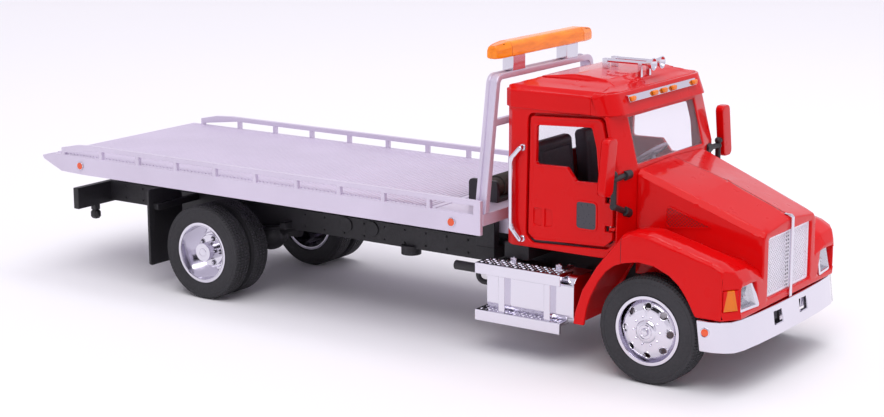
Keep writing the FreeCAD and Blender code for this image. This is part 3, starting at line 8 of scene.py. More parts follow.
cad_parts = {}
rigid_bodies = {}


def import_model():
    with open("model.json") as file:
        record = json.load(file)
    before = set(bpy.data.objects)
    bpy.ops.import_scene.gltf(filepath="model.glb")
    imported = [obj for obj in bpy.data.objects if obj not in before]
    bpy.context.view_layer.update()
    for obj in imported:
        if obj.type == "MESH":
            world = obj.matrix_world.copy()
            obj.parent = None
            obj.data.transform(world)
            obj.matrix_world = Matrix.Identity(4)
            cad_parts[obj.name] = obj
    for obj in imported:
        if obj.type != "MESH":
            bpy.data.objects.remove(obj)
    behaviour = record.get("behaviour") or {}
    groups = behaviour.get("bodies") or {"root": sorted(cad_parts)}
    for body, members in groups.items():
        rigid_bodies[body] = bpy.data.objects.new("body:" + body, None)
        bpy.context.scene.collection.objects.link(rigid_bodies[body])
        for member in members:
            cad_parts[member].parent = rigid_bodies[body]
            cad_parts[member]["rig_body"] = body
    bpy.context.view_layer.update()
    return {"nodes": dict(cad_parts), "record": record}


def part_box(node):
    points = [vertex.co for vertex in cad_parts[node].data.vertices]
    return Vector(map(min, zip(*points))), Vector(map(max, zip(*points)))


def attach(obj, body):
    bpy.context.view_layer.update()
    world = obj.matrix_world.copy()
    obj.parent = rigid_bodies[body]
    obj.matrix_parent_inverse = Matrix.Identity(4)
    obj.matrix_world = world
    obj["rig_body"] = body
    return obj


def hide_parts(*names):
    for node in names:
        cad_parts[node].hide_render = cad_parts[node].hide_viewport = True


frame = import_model()
nodes = frame["nodes"]
mm = 0.001
slotOf = {part["node"]: part["material_slot"] for part in frame["record"]["subparts"]}

# Gaps in millimetres and the angle in degrees under which points, cuts and faces count as one
tolerance = {"merge": 0.0005, "cut": 0.0001, "flat": 0.5}

# Lengths along X are given in millimetres forward of the rear axle
axleLow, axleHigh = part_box("rear_axle_pin")
rearAxleX = (axleLow.x + axleHigh.x) / 2


def at(x, y, z):
    return Vector((rearAxleX + x * mm, y * mm, z * mm))


# Materials: the scales of a grain's slow and fine noise, and the depth of its bump in metres
paintGrain = {"slow": 25.0, "fine": 220.0, "depth": 0.00006, "stretch": (1, 1, 1)}
plasticGrain = {"slow": 40.0, "fine": 1500.0, "depth": 0.00005, "stretch": (1, 1, 1)}
housingGrain = {"slow": 420.0, "fine": 600.0, "depth": 0.0001, "stretch": (1, 0.3, 1.4)}
noisePlan = {"slowDetail": 4.0, "fineDetail": 6.0, "band": (0.3, 0.7), "coatRough": 0.05}

# Each finish: base colour and how far it wanders, range of roughness, a grain if it isn't the plastic one,
# how much the grain shows, and what else the shader is given. The amber housing scatters light inside and
# looks mottled, and its faint emission is a painted glow, for the bar is not lit.
finishPlans = {
    "red_paint": {"base": (0.70, 0.002, 0.003), "wander": 0.05, "rough": (0.26, 0.36), "grain": paintGrain,
        "bump": 0.10, "shader": {"Coat Weight": 0.9, "Coat Roughness": 0.06, "Coat IOR": 1.25,
        "Specular IOR Level": 0.06}},
    # Darker red for the sheet behind the hood vents: painted shade for their hollow
    "red_painted_shade": {"base": (0.26, 0.004, 0.006), "wander": 0.0, "rough": (0.50, 0.50), "grain": paintGrain,
        "bump": 0.0},
    "silver_plastic": {"base": (0.70, 0.635, 0.765), "wander": 0.04, "rough": (0.28, 0.42), "bump": 0.25,
        "shader": {"Metallic": 0.35}},
    # Pale satin for the grille's mesh; on the steering wheel it is a lighter copy of silver_plastic, painted
    # light against the cab's shade
    "satin_mesh_and_lit_wheel": {"base": (0.90, 0.87, 0.95), "wander": 0.04, "rough": (0.25, 0.38), "bump": 0.15,
        "shader": {"Metallic": 0.25}},
    "chrome_trim": {"base": (0.72, 0.70, 0.77), "wander": 0.03, "rough": (0.06, 0.16), "grain": paintGrain,
        "bump": 0.10, "shader": {"Metallic": 1.0}},
    "lamp_reflector": {"base": (0.62, 0.62, 0.67), "wander": 0.10, "rough": (0.22, 0.36), "bump": 0.3,
        "shader": {"Metallic": 0.9}},
    "black_plastic": {"base": (0.017, 0.016, 0.019), "wander": 0.25, "rough": (0.42, 0.60), "bump": 0.4},
    "dark_pane": {"base": (0.032, 0.030, 0.042), "wander": 0.12, "rough": (0.25, 0.36), "bump": 0.15,
        "shader": {"Coat Weight": 0.3}},
    "cab_grey": {"base": (0.075, 0.068, 0.085), "wander": 0.18, "rough": (0.48, 0.64), "bump": 0.4},
    "tyre_rubber": {"base": (0.026, 0.025, 0.029), "wander": 0.30, "rough": (0.60, 0.80), "bump": 0.6},
    "winch_rope": {"base": (0.05, 0.045, 0.04), "wander": 0.35, "rough": (0.70, 0.90), "bump": 0.8},
    "amber_plastic": {"base": (0.85, 0.19, 0.003), "wander": 0.22, "rough": (0.12, 0.26), "bump": 0.15,
        "shader": {"Coat Weight": 0.25, "Specular IOR Level": 0.3}},
    "amber_housing": {"base": (1.0, 0.23, 0.004), "wander": 0.28, "rough": (0.12, 0.26),
        "grain": housingGrain, "bump": 0.2, "shader": {"Coat Weight": 0.3, "Specular IOR Level": 0.3,
        "Subsurface Weight": 0.15, "Subsurface Radius": (0.002, 0.001, 0.0004),
        "Emission Color": (1.0, 0.28, 0.01, 1), "Emission Strength": 0.2}},
    "red_plastic": {"base": (0.85, 0.09, 0.01), "wander": 0.15, "rough": (0.10, 0.22), "grain": paintGrain,
        "bump": 0.15, "shader": {"Coat Weight": 0.5}},
    "clear_plastic": {"base": (0.90, 0.88, 0.94), "wander": 0.02, "rough": (0.02, 0.07), "grain": paintGrain,
        "bump": 0.03, "shader": {"Transmission Weight": 0.92, "IOR": 1.1}},
    "steel_pins": {"base": (0.50, 0.50, 0.52), "wander": 0.06, "rough": (0.25, 0.38), "bump": 0.2,
        "shader": {"Metallic": 1.0}},
}


# Noise on object coordinates, as a socket
def noiseOn(tree, scale, stretch, detail):
    coord = tree.nodes.new("ShaderNodeTexCoord")
    place = tree.nodes.new("ShaderNodeMapping")
    place.inputs["Scale"].default_value = stretch
    noise = tree.nodes.new("ShaderNodeTexNoise")
    noise.inputs["Scale"].default_value = scale
    noise.inputs["Detail"].default_value = detail
    tree.links.new(coord.outputs["Object"], place.inputs["Vector"])
    tree.links.new(place.outputs["Vector"], noise.inputs["Vector"])
    return noise.outputs["Fac"]


# Moves a value from the middle band of a noise to the given range
def spreadTo(tree, source, bounds):
    node = tree.nodes.new("ShaderNodeMapRange")
    node.inputs["From Min"].default_value, node.inputs["From Max"].default_value = noisePlan["band"]
    node.inputs["To Min"].default_value, node.inputs["To Max"].default_value = bounds
    tree.links.new(source, node.inputs["Value"])
    return node.outputs["Result"]


# Colour and roughness wander a little, and a fine grain roughens the surface
def makeFinish(name, plan):
    mat = bpy.data.materials.new(name)
    mat.use_nodes = True
    tree = mat.node_tree
    shader = tree.nodes["Principled BSDF"]
    shader.inputs["Coat Roughness"].default_value = noisePlan["coatRough"]
    for key, value in plan.get("shader", {}).items():
        shader.inputs[key].default_value = value
    grain = plan.get("grain", plasticGrain)
    slow = noiseOn(tree, grain["slow"], grain["stretch"], noisePlan["slowDetail"])
    fine = noiseOn(tree, grain["fine"], grain["stretch"], noisePlan["fineDetail"])
    mix = tree.nodes.new("ShaderNodeMix")
    mix.data_type = "RGBA"
    for end, share in (("A", 1 - plan["wander"]), ("B", 1 + plan["wander"])):
        mix.inputs[end].default_value = (*[min(1, share * part) for part in plan["base"]], 1)
    bump = tree.nodes.new("ShaderNodeBump")
    bump.inputs["Strength"].default_value = plan["bump"]
    bump.inputs["Distance"].default_value = grain["depth"]
    tree.links.new(spreadTo(tree, slow, (0, 1)), mix.inputs["Factor"])
    tree.links.new(mix.outputs["Result"], shader.inputs["Base Color"])
    tree.links.new(spreadTo(tree, fine, plan["rough"]), shader.inputs["Roughness"])
    tree.links.new(fine, bump.inputs["Height"])
    tree.links.new(bump.outputs["Normal"], shader.inputs["Normal"])
    return mat


finishes = {name: makeFinish(name, plan) for name, plan in finishPlans.items()}
for name, obj in nodes.items():
    obj.data.materials.clear()
    obj.data.materials.append(finishes[slotOf[name]])
print("materials made:", len(finishes))


# Making and finishing pieces

def addPiece(name, bm, body, slot, materials=None, replaced=(), smooth=35, even=False):
    mesh = bpy.data.meshes.new(name)
    bm.to_mesh(mesh)
    bm.free()
    for finish in materials or (slot,):
        mesh.materials.append(finishes[finish])
    mesh.polygons.foreach_set("use_smooth", [True] * len(mesh.polygons))
    mesh.set_sharp_from_angle(angle=math.radians(smooth))
    obj = bpy.data.objects.new(name, mesh)
    bpy.context.scene.collection.objects.link(obj)
    if even:
        obj.modifiers.new("evenNormals", "WEIGHTED_NORMAL").keep_sharp = True
    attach(obj, body)
    if replaced:
        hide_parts(*replaced)


# A merged copy of a node's mesh, its loose triangles paired where they lie flat
def cleanCopy(node):
    bm = bmesh.new()
    bm.from_mesh(nodes[node].data)
    bmesh.ops.remove_doubles(bm, verts=bm.verts[:], dist=tolerance["merge"] * mm)
    bmesh.ops.join_triangles(bm, faces=bm.faces[:], angle_face_threshold=math.radians(tolerance["flat"]),
        angle_shape_threshold=math.pi)
    return bm


# Rounds the outward edges, and lays any point that strays back on the old surface
def roundEdges(bm, width, angle=30):
    surface = BVHTree.FromBMesh(bm)
    edges = [edge for edge in bm.edges if len(edge.link_faces) == 2 and edge.is_convex
        and edge.calc_face_angle() > math.radians(angle)]
    bmesh.ops.bevel(bm, geom=edges, offset=width * mm, offset_type="OFFSET", segments=2, profile=0.5,
        affect="EDGES", clamp_overlap=False, material=-1)
    for vert in bm.verts:
        nearest = surface.find_nearest(vert.co)[0]
        if (nearest - vert.co).length > width * mm:
            vert.co = nearest


def box(bm, low, high):
    made = bmesh.ops.create_cube(bm, size=1)["verts"]
    bmesh.ops.scale(bm, vec=high - low, verts=made)
    bmesh.ops.translate(bm, vec=(low + high) / 2, verts=made)
    return made


# The two corners of a block on one side of the truck, its distances from the middle in either order
def cornersAt(side, xs, ys, zs):
    first, second = sorted(side * y for y in ys)
    return at(xs[0], first, zs[0]), at(xs[1], second, zs[1])


# A short rod along an axis, in millimetres, narrowing to its tip where one is given
def stud(bm, base, direction, length, radius, tip=None, sides=24):
    turn = direction.to_track_quat("Z", "Y").to_matrix().to_4x4()
    place = Matrix.Translation(base + direction.normalized() * length * mm / 2) @ turn
    return bmesh.ops.create_cone(bm, cap_ends=True, segments=sides, radius1=radius * mm,
        radius2=(radius if tip is None else tip) * mm, depth=length * mm, matrix=place)["verts"]


# Adds one bmesh to another and frees it
def joinInto(bm, part):
    mesh = bpy.data.meshes.new("part")
    part.to_mesh(mesh)
    part.free()
    bm.from_mesh(mesh)
    bpy.data.meshes.remove(mesh)


# Turns an outline of (radius, distance along the axis) in millimetres about an axis
def turned(bm, outline, centre, axis, steps, closed=False):
    part = bmesh.new()
    verts = [part.verts.new((radius * mm, 0, along * mm)) for radius, along in outline]
    pairs = list(zip(verts, verts[1:])) + ([(verts[-1], verts[0])] if closed else [])
    edges = [part.edges.new(pair) for pair in pairs]
    bmesh.ops.spin(part, geom=verts + edges, cent=(0, 0, 0), axis=(0, 0, 1), angle=math.tau, steps=steps,
        use_merge=True)
    bmesh.ops.remove_doubles(part, verts=part.verts[:], dist=tolerance["cut"] * mm)
    bmesh.ops.recalc_face_normals(part, faces=part.faces[:])
    turn = Vector(axis).to_track_quat("Z", "Y").to_matrix().to_4x4()
    bmesh.ops.transform(part, matrix=Matrix.Translation(centre) @ turn, verts=part.verts[:])
    joinInto(bm, part)


# A ring of round section about an axis
def hoop(bm, centre, axis, radius, thick, steps=40, sides=8):
    angles = [math.tau * index / sides for index in range(sides)]
    outline = [(radius + thick * math.cos(angle), thick * math.sin(angle)) for angle in angles]
    turned(bm, outline, centre, axis, steps, closed=True)


# A flat plate with rounded corners, square to a world axis, from its two corners
def roundedPlate(bm, low, high, facing, radius):
    made = box(bm, low, high)
    side = "XYZ".index(facing)
    edges = [edge for edge in {e for vert in made for e in vert.link_edges}
        if abs((edge.verts[0].co - edge.verts[1].co)[side]) > 0.5 * (high - low)[side]]
    bmesh.ops.bevel(bm, geom=edges, offset=radius * mm, offset_type="OFFSET", segments=4, profile=0.5,
        affect="EDGES", clamp_overlap=True, material=-1)


# A flat frame with rounded corners, square to a world axis; its edges are rounded by a share of its rim
def plateFrame(bm, low, high, facing, radius, rim, softness=0.2):
    part = bmesh.new()
    roundedPlate(part, low, high, facing, radius)
    caps = [face for face in part.faces if abs(face.normal["XYZ".index(facing)]) > 0.99]
    bmesh.ops.inset_region(part, faces=caps, thickness=rim * mm)
    bmesh.ops.delete(part, geom=caps, context="FACES")
    bmesh.ops.bridge_loops(part, edges=[edge for edge in part.edges if edge.is_boundary])
    bmesh.ops.recalc_face_normals(part, faces=part.faces[:])
    roundEdges(part, rim * softness)
    joinInto(bm, part)


# The faces that look one way and are larger than so many square millimetres
def facesTowards(bm, way, least, cosine=0.9):
    return [face for face in bm.faces if face.normal.dot(Vector(way)) > cosine
        and face.calc_area() > least * mm * mm]


# Insets faces step by step, each step a width and a depth in millimetres
def insetSteps(bm, faces, steps, single=False):
    inset = bmesh.ops.inset_individual if single else bmesh.ops.inset_region
    for width, depth in steps:
        inset(bm, faces=faces, thickness=width * mm, depth=depth * mm, use_even_offset=True)


# Opens each cell of a sheet, which leaves strands between them
def openCells(bm, strand, least):
    cells = [face for face in bm.faces if face.calc_area() > least * mm * mm]
    insetSteps(bm, cells, ((strand, 0),), single=True)
    bmesh.ops.delete(bm, geom=cells, context="FACES")


# Gives a sheet thickness by lifting a copy of its faces
def thicken(bm, offset):
    raised = bmesh.ops.extrude_face_region(bm, geom=bm.faces[:])["geom"]
    bmesh.ops.translate(bm, vec=offset, verts=[item for item in raised
        if isinstance(item, bmesh.types.BMVert)])
    bmesh.ops.recalc_face_normals(bm, faces=bm.faces[:])


def cutAcross(bm, spot, normal, clear=False):
    geom = bm.verts[:] + bm.edges[:] + bm.faces[:]
    return bmesh.ops.bisect_plane(bm, geom=geom, dist=tolerance["cut"] * mm, plane_co=spot, plane_no=normal,
        clear_outer=clear)["geom_cut"]


# A V groove where a plane crosses the surface: its middle line moves by the given function
def groove(bm, spot, normal, halfWidth, sink):
    for offset in (-halfWidth, halfWidth):
        cutAcross(bm, spot + normal * offset * mm, normal)
    for item in cutAcross(bm, spot, normal):
        if isinstance(item, bmesh.types.BMVert) and sink(item.co).length > 0:
            item.co += sink(item.co) * mm
            for face in item.link_faces:
                face.material_index = 1


def surfaceOf(name):
    bm = bmesh.new()
    bm.from_mesh(nodes[name].data)
    tree = BVHTree.FromBMesh(bm)
    bm.free()
    return tree


# Where a ray meets a surface, and the way that the surface faces there
def land(tree, start, direction):
    return tree.ray_cast(start, direction)[:2]


# The same, looking across the truck from well beyond one side
def landFrom(tree, x, side, z, beyond=60.0):
    return land(tree, at(x, side * beyond, z), Vector((0, -side, 0)))


# Castings and mouldings: the width in millimetres that each piece's edges are rounded by
softEdges = {"cab_shell": 0.35, "hood_and_fenders": 0.4, "sun_visor": 0.25, "mirror_shells": 0.5,
    "bed_deck": 0.15, "bed_sills": 0.15, "bed_side_left": 0.2, "bed_side_right": 0.2, "headache_rack": 0.35,
    "tilt_frame": 0.15, "winch": 0.15, "bed_rests": 0.15, "bed_markers": 0.12, "chassis_frame": 0.15,
    "rear_springs": 0.12, "driveline": 0.3, "rear_bar": 0.3, "mud_flaps": 0.2, "battery_boxes": 0.3,
    "tail_pipe": 0.1, "bumper": 0.3, "grille_spine": 0.2, "light_strip": 0.12, "air_horns": 0.1,
    "light_bar_posts": 0.1, "light_bar": 0.6, "turn_signals": 0.15, "step_tank_left": 0.2,
    "step_tank_right": 0.2, "grab_handles": 0.1, "mirror_arms": 0.1, "front_rim_left": 0.12,
    "front_rim_right": 0.12, "rear_rim_left": 0.12, "rear_rim_right": 0.12, "cab_floor": 0.2, "seats": 0.6,
    "dashboard": 0.4, "clearance_lamps": 0.4}
cellPlan = {"nodes": ("hood_and_fenders", "cab_shell", "sun_visor"), "size": 3.0, "merge": 0.05,
    "least": 0.04}


# Cuts the large faces into cells, so that their shading stays even next to curved ones
def splitInCells(bm):
    cell = cellPlan["size"] * mm
    bmesh.ops.triangulate(bm, faces=bm.faces[:])
    for axis in Matrix.Identity(3):
        reaches = [vert.co.dot(axis) for vert in bm.verts]
        for index in range(1, int((max(reaches) - min(reaches)) / cell) + 1):
            cutAcross(bm, axis * (min(reaches) + index * cell), axis)
    bmesh.ops.remove_doubles(bm, verts=bm.verts[:], dist=cellPlan["merge"] * mm)
    bmesh.ops.dissolve_degenerate(bm, edges=bm.edges[:], dist=cellPlan["least"] * mm)


# Centre seam along the hood's crease and the seam across each fender's side
hoodSeams = {"half": 0.16, "deep": 0.28, "from": 163.0, "to": 201.0, "above": 45.0, "fenderX": 165.4,
    "fenderHalf": 0.08, "fenderLow": 36.3, "fenderHigh": 45.1, "fenderBeyond": 33.0}


def seamHood(bm):
    plan = hoodSeams

    def sinkCrease(spot):
        onTop = plan["from"] < (spot.x - rearAxleX) / mm < plan["to"] and spot.z / mm > plan["above"]
        return Vector((0, 0, -plan["deep"] if onTop else 0))

    def sinkSide(spot):
        outside = abs(spot.y) / mm > plan["fenderBeyond"]
        onSide = outside and plan["fenderLow"] < spot.z / mm < plan["fenderHigh"]
        return Vector((0, math.copysign(plan["deep"] if onSide else 0, -spot.y), 0))

    groove(bm, at(0, 0, 0), Vector((0, 1, 0)), plan["half"], sinkCrease)
    groove(bm, at(plan["fenderX"], 0, 0), Vector((1, 0, 0)), plan["fenderHalf"], sinkSide)


# Mirror glass let into the rear face of each shell
mirrorPlan = {"cosine": 0.99, "steps": ((0.6, 0), (0.15, -0.25))}


def mirrorGlass(bm):
    rear = facesTowards(bm, (-1, 0, 0), 0, mirrorPlan["cosine"])
    insetSteps(bm, rear, mirrorPlan["steps"])
    for face in rear:
        face.material_index = 1


# Raised pads on the cushions and backs
seatPlan = {"least": 60, "steps": ((1.4, 0), (0.5, -0.4), (0.7, 0.6))}


def seatPads(bm):
    pads = facesTowards(bm, (0, 0, 1), seatPlan["least"]) + facesTowards(bm, (1, 0, 0), seatPlan["least"])
    insetSteps(bm, pads, seatPlan["steps"], single=True)


# The bell's open mouth
hornPlan = {"cosine": 0.99, "front": 0.05, "steps": ((0.3, 0), (0.8, -1.6))}


def hornMouth(bm):
    front = max(vert.co.x for vert in bm.verts) - hornPlan["front"] * mm
    mouths = [face for face in facesTowards(bm, (1, 0, 0), 0, hornPlan["cosine"])
        if face.calc_center_median().x > front]
    insetSteps(bm, mouths, hornPlan["steps"])


# Each turn signal narrows upward: its upper corners are painted, and the lens is bordered
signalPlan = {"taper": 0.54, "least": 8, "cosine": 0.5, "steps": ((0.35, 0), (0.2, -0.2))}


def signalLens(bm):
    plan = signalPlan
    for side in (-1, 1):
        own = [vert for vert in bm.verts if vert.co.y * side > 0]
        middle = sum((vert.co for vert in own), Vector()) / len(own)
        front = max(bm.faces, key=lambda face: face.normal.x + face.normal.y * side + face.calc_area() / mm)
        along = Vector((0, 0, 1)).cross(front.normal).normalized()
        reach = max((vert.co - middle).dot(along) for vert in own)
        tall = max(vert.co.z for vert in own) - middle.z
        for way in (-1, 1):
            normal = (along * way * 2 * tall + Vector((0, 0, 1)) * plan["taper"] * reach).normalized()
            spot = middle + along * way * reach - Vector((0, 0, tall))
            cutAcross(bm, spot, normal)
            for face in bm.faces:
                corner = face.calc_center_median()
                if corner.y * side > 0 and (corner - spot).dot(normal) > 0:
                    face.material_index = 1
    wide = [face for face in facesTowards(bm, (1, 0, 0), plan["least"], plan["cosine"])
        if face.material_index == 0]
    insetSteps(bm, wide, plan["steps"])


# A turned-in border on both faces of each mud flap
flapPlan = {"least": 100, "steps": ((0.9, 0), (0.3, -0.2))}


def flapBorder(bm):
    wide = facesTowards(bm, (1, 0, 0), flapPlan["least"]) + facesTowards(bm, (-1, 0, 0), flapPlan["least"])
    insetSteps(bm, wide, flapPlan["steps"])


# The roof's facets run into one another
roofPlan = {"low": (121.5, -27.5, 79.5), "high": (155.0, 27.5, 90.0), "rounds": 10, "share": 0.5}


def softenRoof(bm):
    low, high = at(*roofPlan["low"]), at(*roofPlan["high"])
    roof = [vert for vert in bm.verts if all(low[axis] < vert.co[axis] < high[axis] for axis in range(3))]
    for index in range(roofPlan["rounds"]):
        bmesh.ops.smooth_vert(bm, verts=roof, factor=roofPlan["share"], use_axis_x=False, use_axis_y=False,
            use_axis_z=True)


# Seams where the light bar's end caps meet its middle
lightBarPlan = {"seamY": 21.7, "half": 0.2, "deep": 0.25}


def seamLightBar(bm):
    plan = lightBarPlan
    low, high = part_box("light_bar")
    middle = (low + high) / 2

    def sinkIn(spot):
        return Vector((middle.x - spot.x, 0, middle.z - spot.z)).normalized() * plan["deep"]

    for side in (-1, 1):
        groove(bm, Vector((0, side * plan["seamY"] * mm, 0)), Vector((0, 1, 0)), plan["half"], sinkIn)


shapedFirst = {"mud_flaps": flapBorder, "mirror_shells": mirrorGlass, "seats": seatPads,
    "air_horns": hornMouth, "turn_signals": signalLens}
shapedLast = {"hood_and_fenders": seamHood, "cab_shell": softenRoof, "light_bar": seamLightBar}
ownFinish = {"mirror_shells": ("red_paint", "chrome_trim"),
    "hood_and_fenders": ("red_paint", "black_plastic"), "turn_signals": ("amber_plastic", "red_paint"),
    "light_bar": ("amber_housing", "amber_plastic"), "seats": ("cab_grey",), "dashboard": ("cab_grey",),
    "cab_floor": ("cab_grey",)}


def softCasting(node, width, shapeFirst=None, shapeLast=None):
    bm = cleanCopy(node)
    if shapeFirst:
        shapeFirst(bm)
    roundEdges(bm, width, angle=50)
    if node in cellPlan["nodes"]:
        splitInCells(bm)
    if shapeLast:
        shapeLast(bm)
    addPiece(node + "_casting", bm, nodes[node]["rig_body"], slotOf[node], ownFinish.get(node),
        replaced=(node,), smooth=30, even=True)


for node, width in softEdges.items():
    softCasting(node, width, shapedFirst.get(node), shapedLast.get(node))
print("castings softened:", len(softEdges))


# Doors: a raised border round the panel and its window, a small dark pane low at the front, and a lip inside
# the cab's wall that closes the gap round the door. The outline is in shares of the door's box.
doorPlan = {"steps": ((0.6, 0), (0.2, 0)), "sink": 0.2, "edge": 0.15, "flush": 0.05,
    "handle": ((130.3, 41.7), (137.4, 47.4)), "handleDeep": 0.9, "paneX": (145.9, 152.6),
    "paneZ": (42.9, 51.0), "paneCorner": 1.0, "paneRim": 0.55, "paneRise": 0.12, "rimRise": 0.24,
    "paneThick": 0.5, "outline": ((0.02, 0.97), (0.84, 1.0), (0.91, 0.83), (1.0, 0.42), (0.997, 0.06),
    (0.906, 0.02), (0.06, 0.0), (0.0, 0.05)), "jambReach": 1.8, "jambWide": 2.5, "jambIn": 27.8,
    "jambThick": 0.6}


# The skin and the handle's recess sink together, so that the recess gets no border
def sinkPanel(bm):
    plan = doorPlan
    skin = max(abs(vert.co.y) for vert in bm.verts) - plan["flush"] * mm
    (rearX, lowZ), (frontX, highZ) = plan["handle"]
    low, high = at(rearX, 0, lowZ), at(frontX, 0, highZ)

    def inPanel(face):
        spot = face.calc_center_median()
        onSkin = abs(face.normal.y) > 0.99 and abs(spot.y) > skin
        atHandle = low.x < spot.x < high.x and low.z < spot.z < high.z
        return onSkin or (atHandle and abs(spot.y) > skin - plan["handleDeep"] * mm)

    panel = [face for face in bm.faces if inPanel(face)]
    insetSteps(bm, panel, plan["steps"])
    inward = -math.copysign(plan["sink"] * mm, panel[0].calc_center_median().y)
    bmesh.ops.translate(bm, vec=(0, inward, 0), verts=list({vert for face in panel for vert in face.verts}))


def doorJamb(bm, side):
    plan = doorPlan
    low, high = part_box("door_left")
    reach = plan["jambReach"] * mm
    long, tall = high.x - low.x + 2 * reach, high.z - low.z + 2 * reach
    part = bmesh.new()
    verts = [part.verts.new((low.x - reach + along * long, side * plan["jambIn"] * mm,
        low.z - reach + up * tall)) for along, up in plan["outline"]]
    faces = [part.faces.new(verts)]
    part.normal_update()
    bmesh.ops.inset_region(part, faces=faces, thickness=plan["jambWide"] * mm, use_boundary=True,
        use_even_offset=True)
    bmesh.ops.delete(part, geom=faces, context="FACES")
    thicken(part, (0, side * plan["jambThick"] * mm, 0))
    joinInto(bm, part)


def doorPane(side, body):
    plan = doorPlan
    skin = max(abs(corner.y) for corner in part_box(body)) / mm - plan["sink"]
    bm = bmesh.new()
    ys = (skin - plan["paneThick"], skin + plan["paneRise"])
    roundedPlate(bm, *cornersAt(side, plan["paneX"], ys, plan["paneZ"]), "Y", plan["paneCorner"])
    addPiece(body + "_low_pane", bm, body, "black_plastic", ("dark_pane",))
    bm = bmesh.new()
    rim = plan["paneRim"]
    xs, zs = ((low - rim, high + rim) for low, high in (plan["paneX"], plan["paneZ"]))
    ys = (skin - plan["paneThick"], skin + plan["rimRise"])
    plateFrame(bm, *cornersAt(side, xs, ys, zs), "Y", plan["paneCorner"] + rim, rim)
    addPiece(body + "_pane_rim", bm, body, "red_paint", even=True)


jambs = bmesh.new()
for side, body in ((1, "door_left"), (-1, "door_right")):
    softCasting(body, doorPlan["edge"], sinkPanel)
    doorPane(side, body)
    doorJamb(jambs, side)
addPiece("door_jambs", jambs, "chassis", "red_paint", even=True)
print("doors made")


# Tyres: a turned section with rows of lugs, in shares of the width and of the height over the bead
tyrePlan = {"bead": 10.6, "steps": 96, "lugGap": 0.12, "lugHeight": 0.34, "shoulderHeight": 0.22,
    "side": ((0.10, 0.0), (0.035, 0.07), (0.008, 0.25), (0.0, 0.45), (0.022, 0.66), (0.012, 0.68),
    (0.016, 0.72), (0.030, 0.74), (0.050, 0.86), (0.14, 0.938)), "crown": (0.27, 0.31, 0.48),
    "treadFrom": 0.87, "shoulder": 0.14}


def tyre(node):
    plan = tyrePlan
    low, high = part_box(node)
    centre = (low + high) / 2
    width = (high.y - low.y) / mm
    tall = (high.z - low.z) / 2 / mm - plan["bead"]
    half = list(plan["side"]) + [(across, plan["side"][-1][1]) for across in plan["crown"]]
    shares = half + [(1 - across, up) for across, up in reversed(half)]
    bm = bmesh.new()
    turned(bm, [(plan["bead"] + up * tall, (across - 0.5) * width) for across, up in shares], centre,
        (0, 1, 0), plan["steps"], closed=True)
    tread = []
    shoulder = []
    for face in bm.faces:
        spot = face.calc_center_median() - centre
        across = 0.5 - abs(spot.y) / mm / width
        if math.hypot(spot.x, spot.z) / mm < plan["bead"] + plan["treadFrom"] * tall:
            continue
        if across < plan["shoulder"]:
            shoulder.append(face)
        elif not plan["crown"][0] < across < plan["crown"][1] and across < plan["crown"][2]:
            tread.append(face)
    insetSteps(bm, tread, ((plan["lugGap"], plan["lugHeight"]),), single=True)
    insetSteps(bm, shoulder, ((plan["lugGap"], plan["shoulderHeight"]),), single=True)
    addPiece(node + "_treaded", bm, nodes[node]["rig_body"], "tyre_rubber", replaced=(node,), smooth=30)


for node in nodes:
    if "tyre" in node:
        tyre(node)
print("tyres made")


# Wheel faces: nuts, hub boss and the lips of the hand holes
wheelPlan = {"beyond": 60.0, "sink": 0.1, "shade": 0.16, "nutTip": 0.75, "pinShare": 0.45, "pinRise": 0.15,
    "boss": ((1, 0.3), (0.85, 0.6), (0.8, 0.5), (0.4, 0.62), (0, 0.65)), "ringSink": 0.05, "ringShare": 1.7,
    "ringThick": 0.18, "lipReach": 1.45, "lipRise": 0.12}
frontFace = {"nuts": 10, "nutCircle": 4.4, "nutRadius": 0.42, "nutHeight": 0.55, "bossRadius": 1.25,
    "bossHeight": 1.2, "holes": 8, "holeCircle": 7.4, "lipRadius": 1.3, "lipThick": 0.22}
rearFace = {"nuts": 5, "nutCircle": 4.4, "nutRadius": 0.5, "nutHeight": 0.7, "recess": 1.0,
    "recessThick": 0.16, "bossRadius": 1.5, "bossHeight": 0.3, "stepCircles": (6.2, 9.6), "stepThick": 0.2}


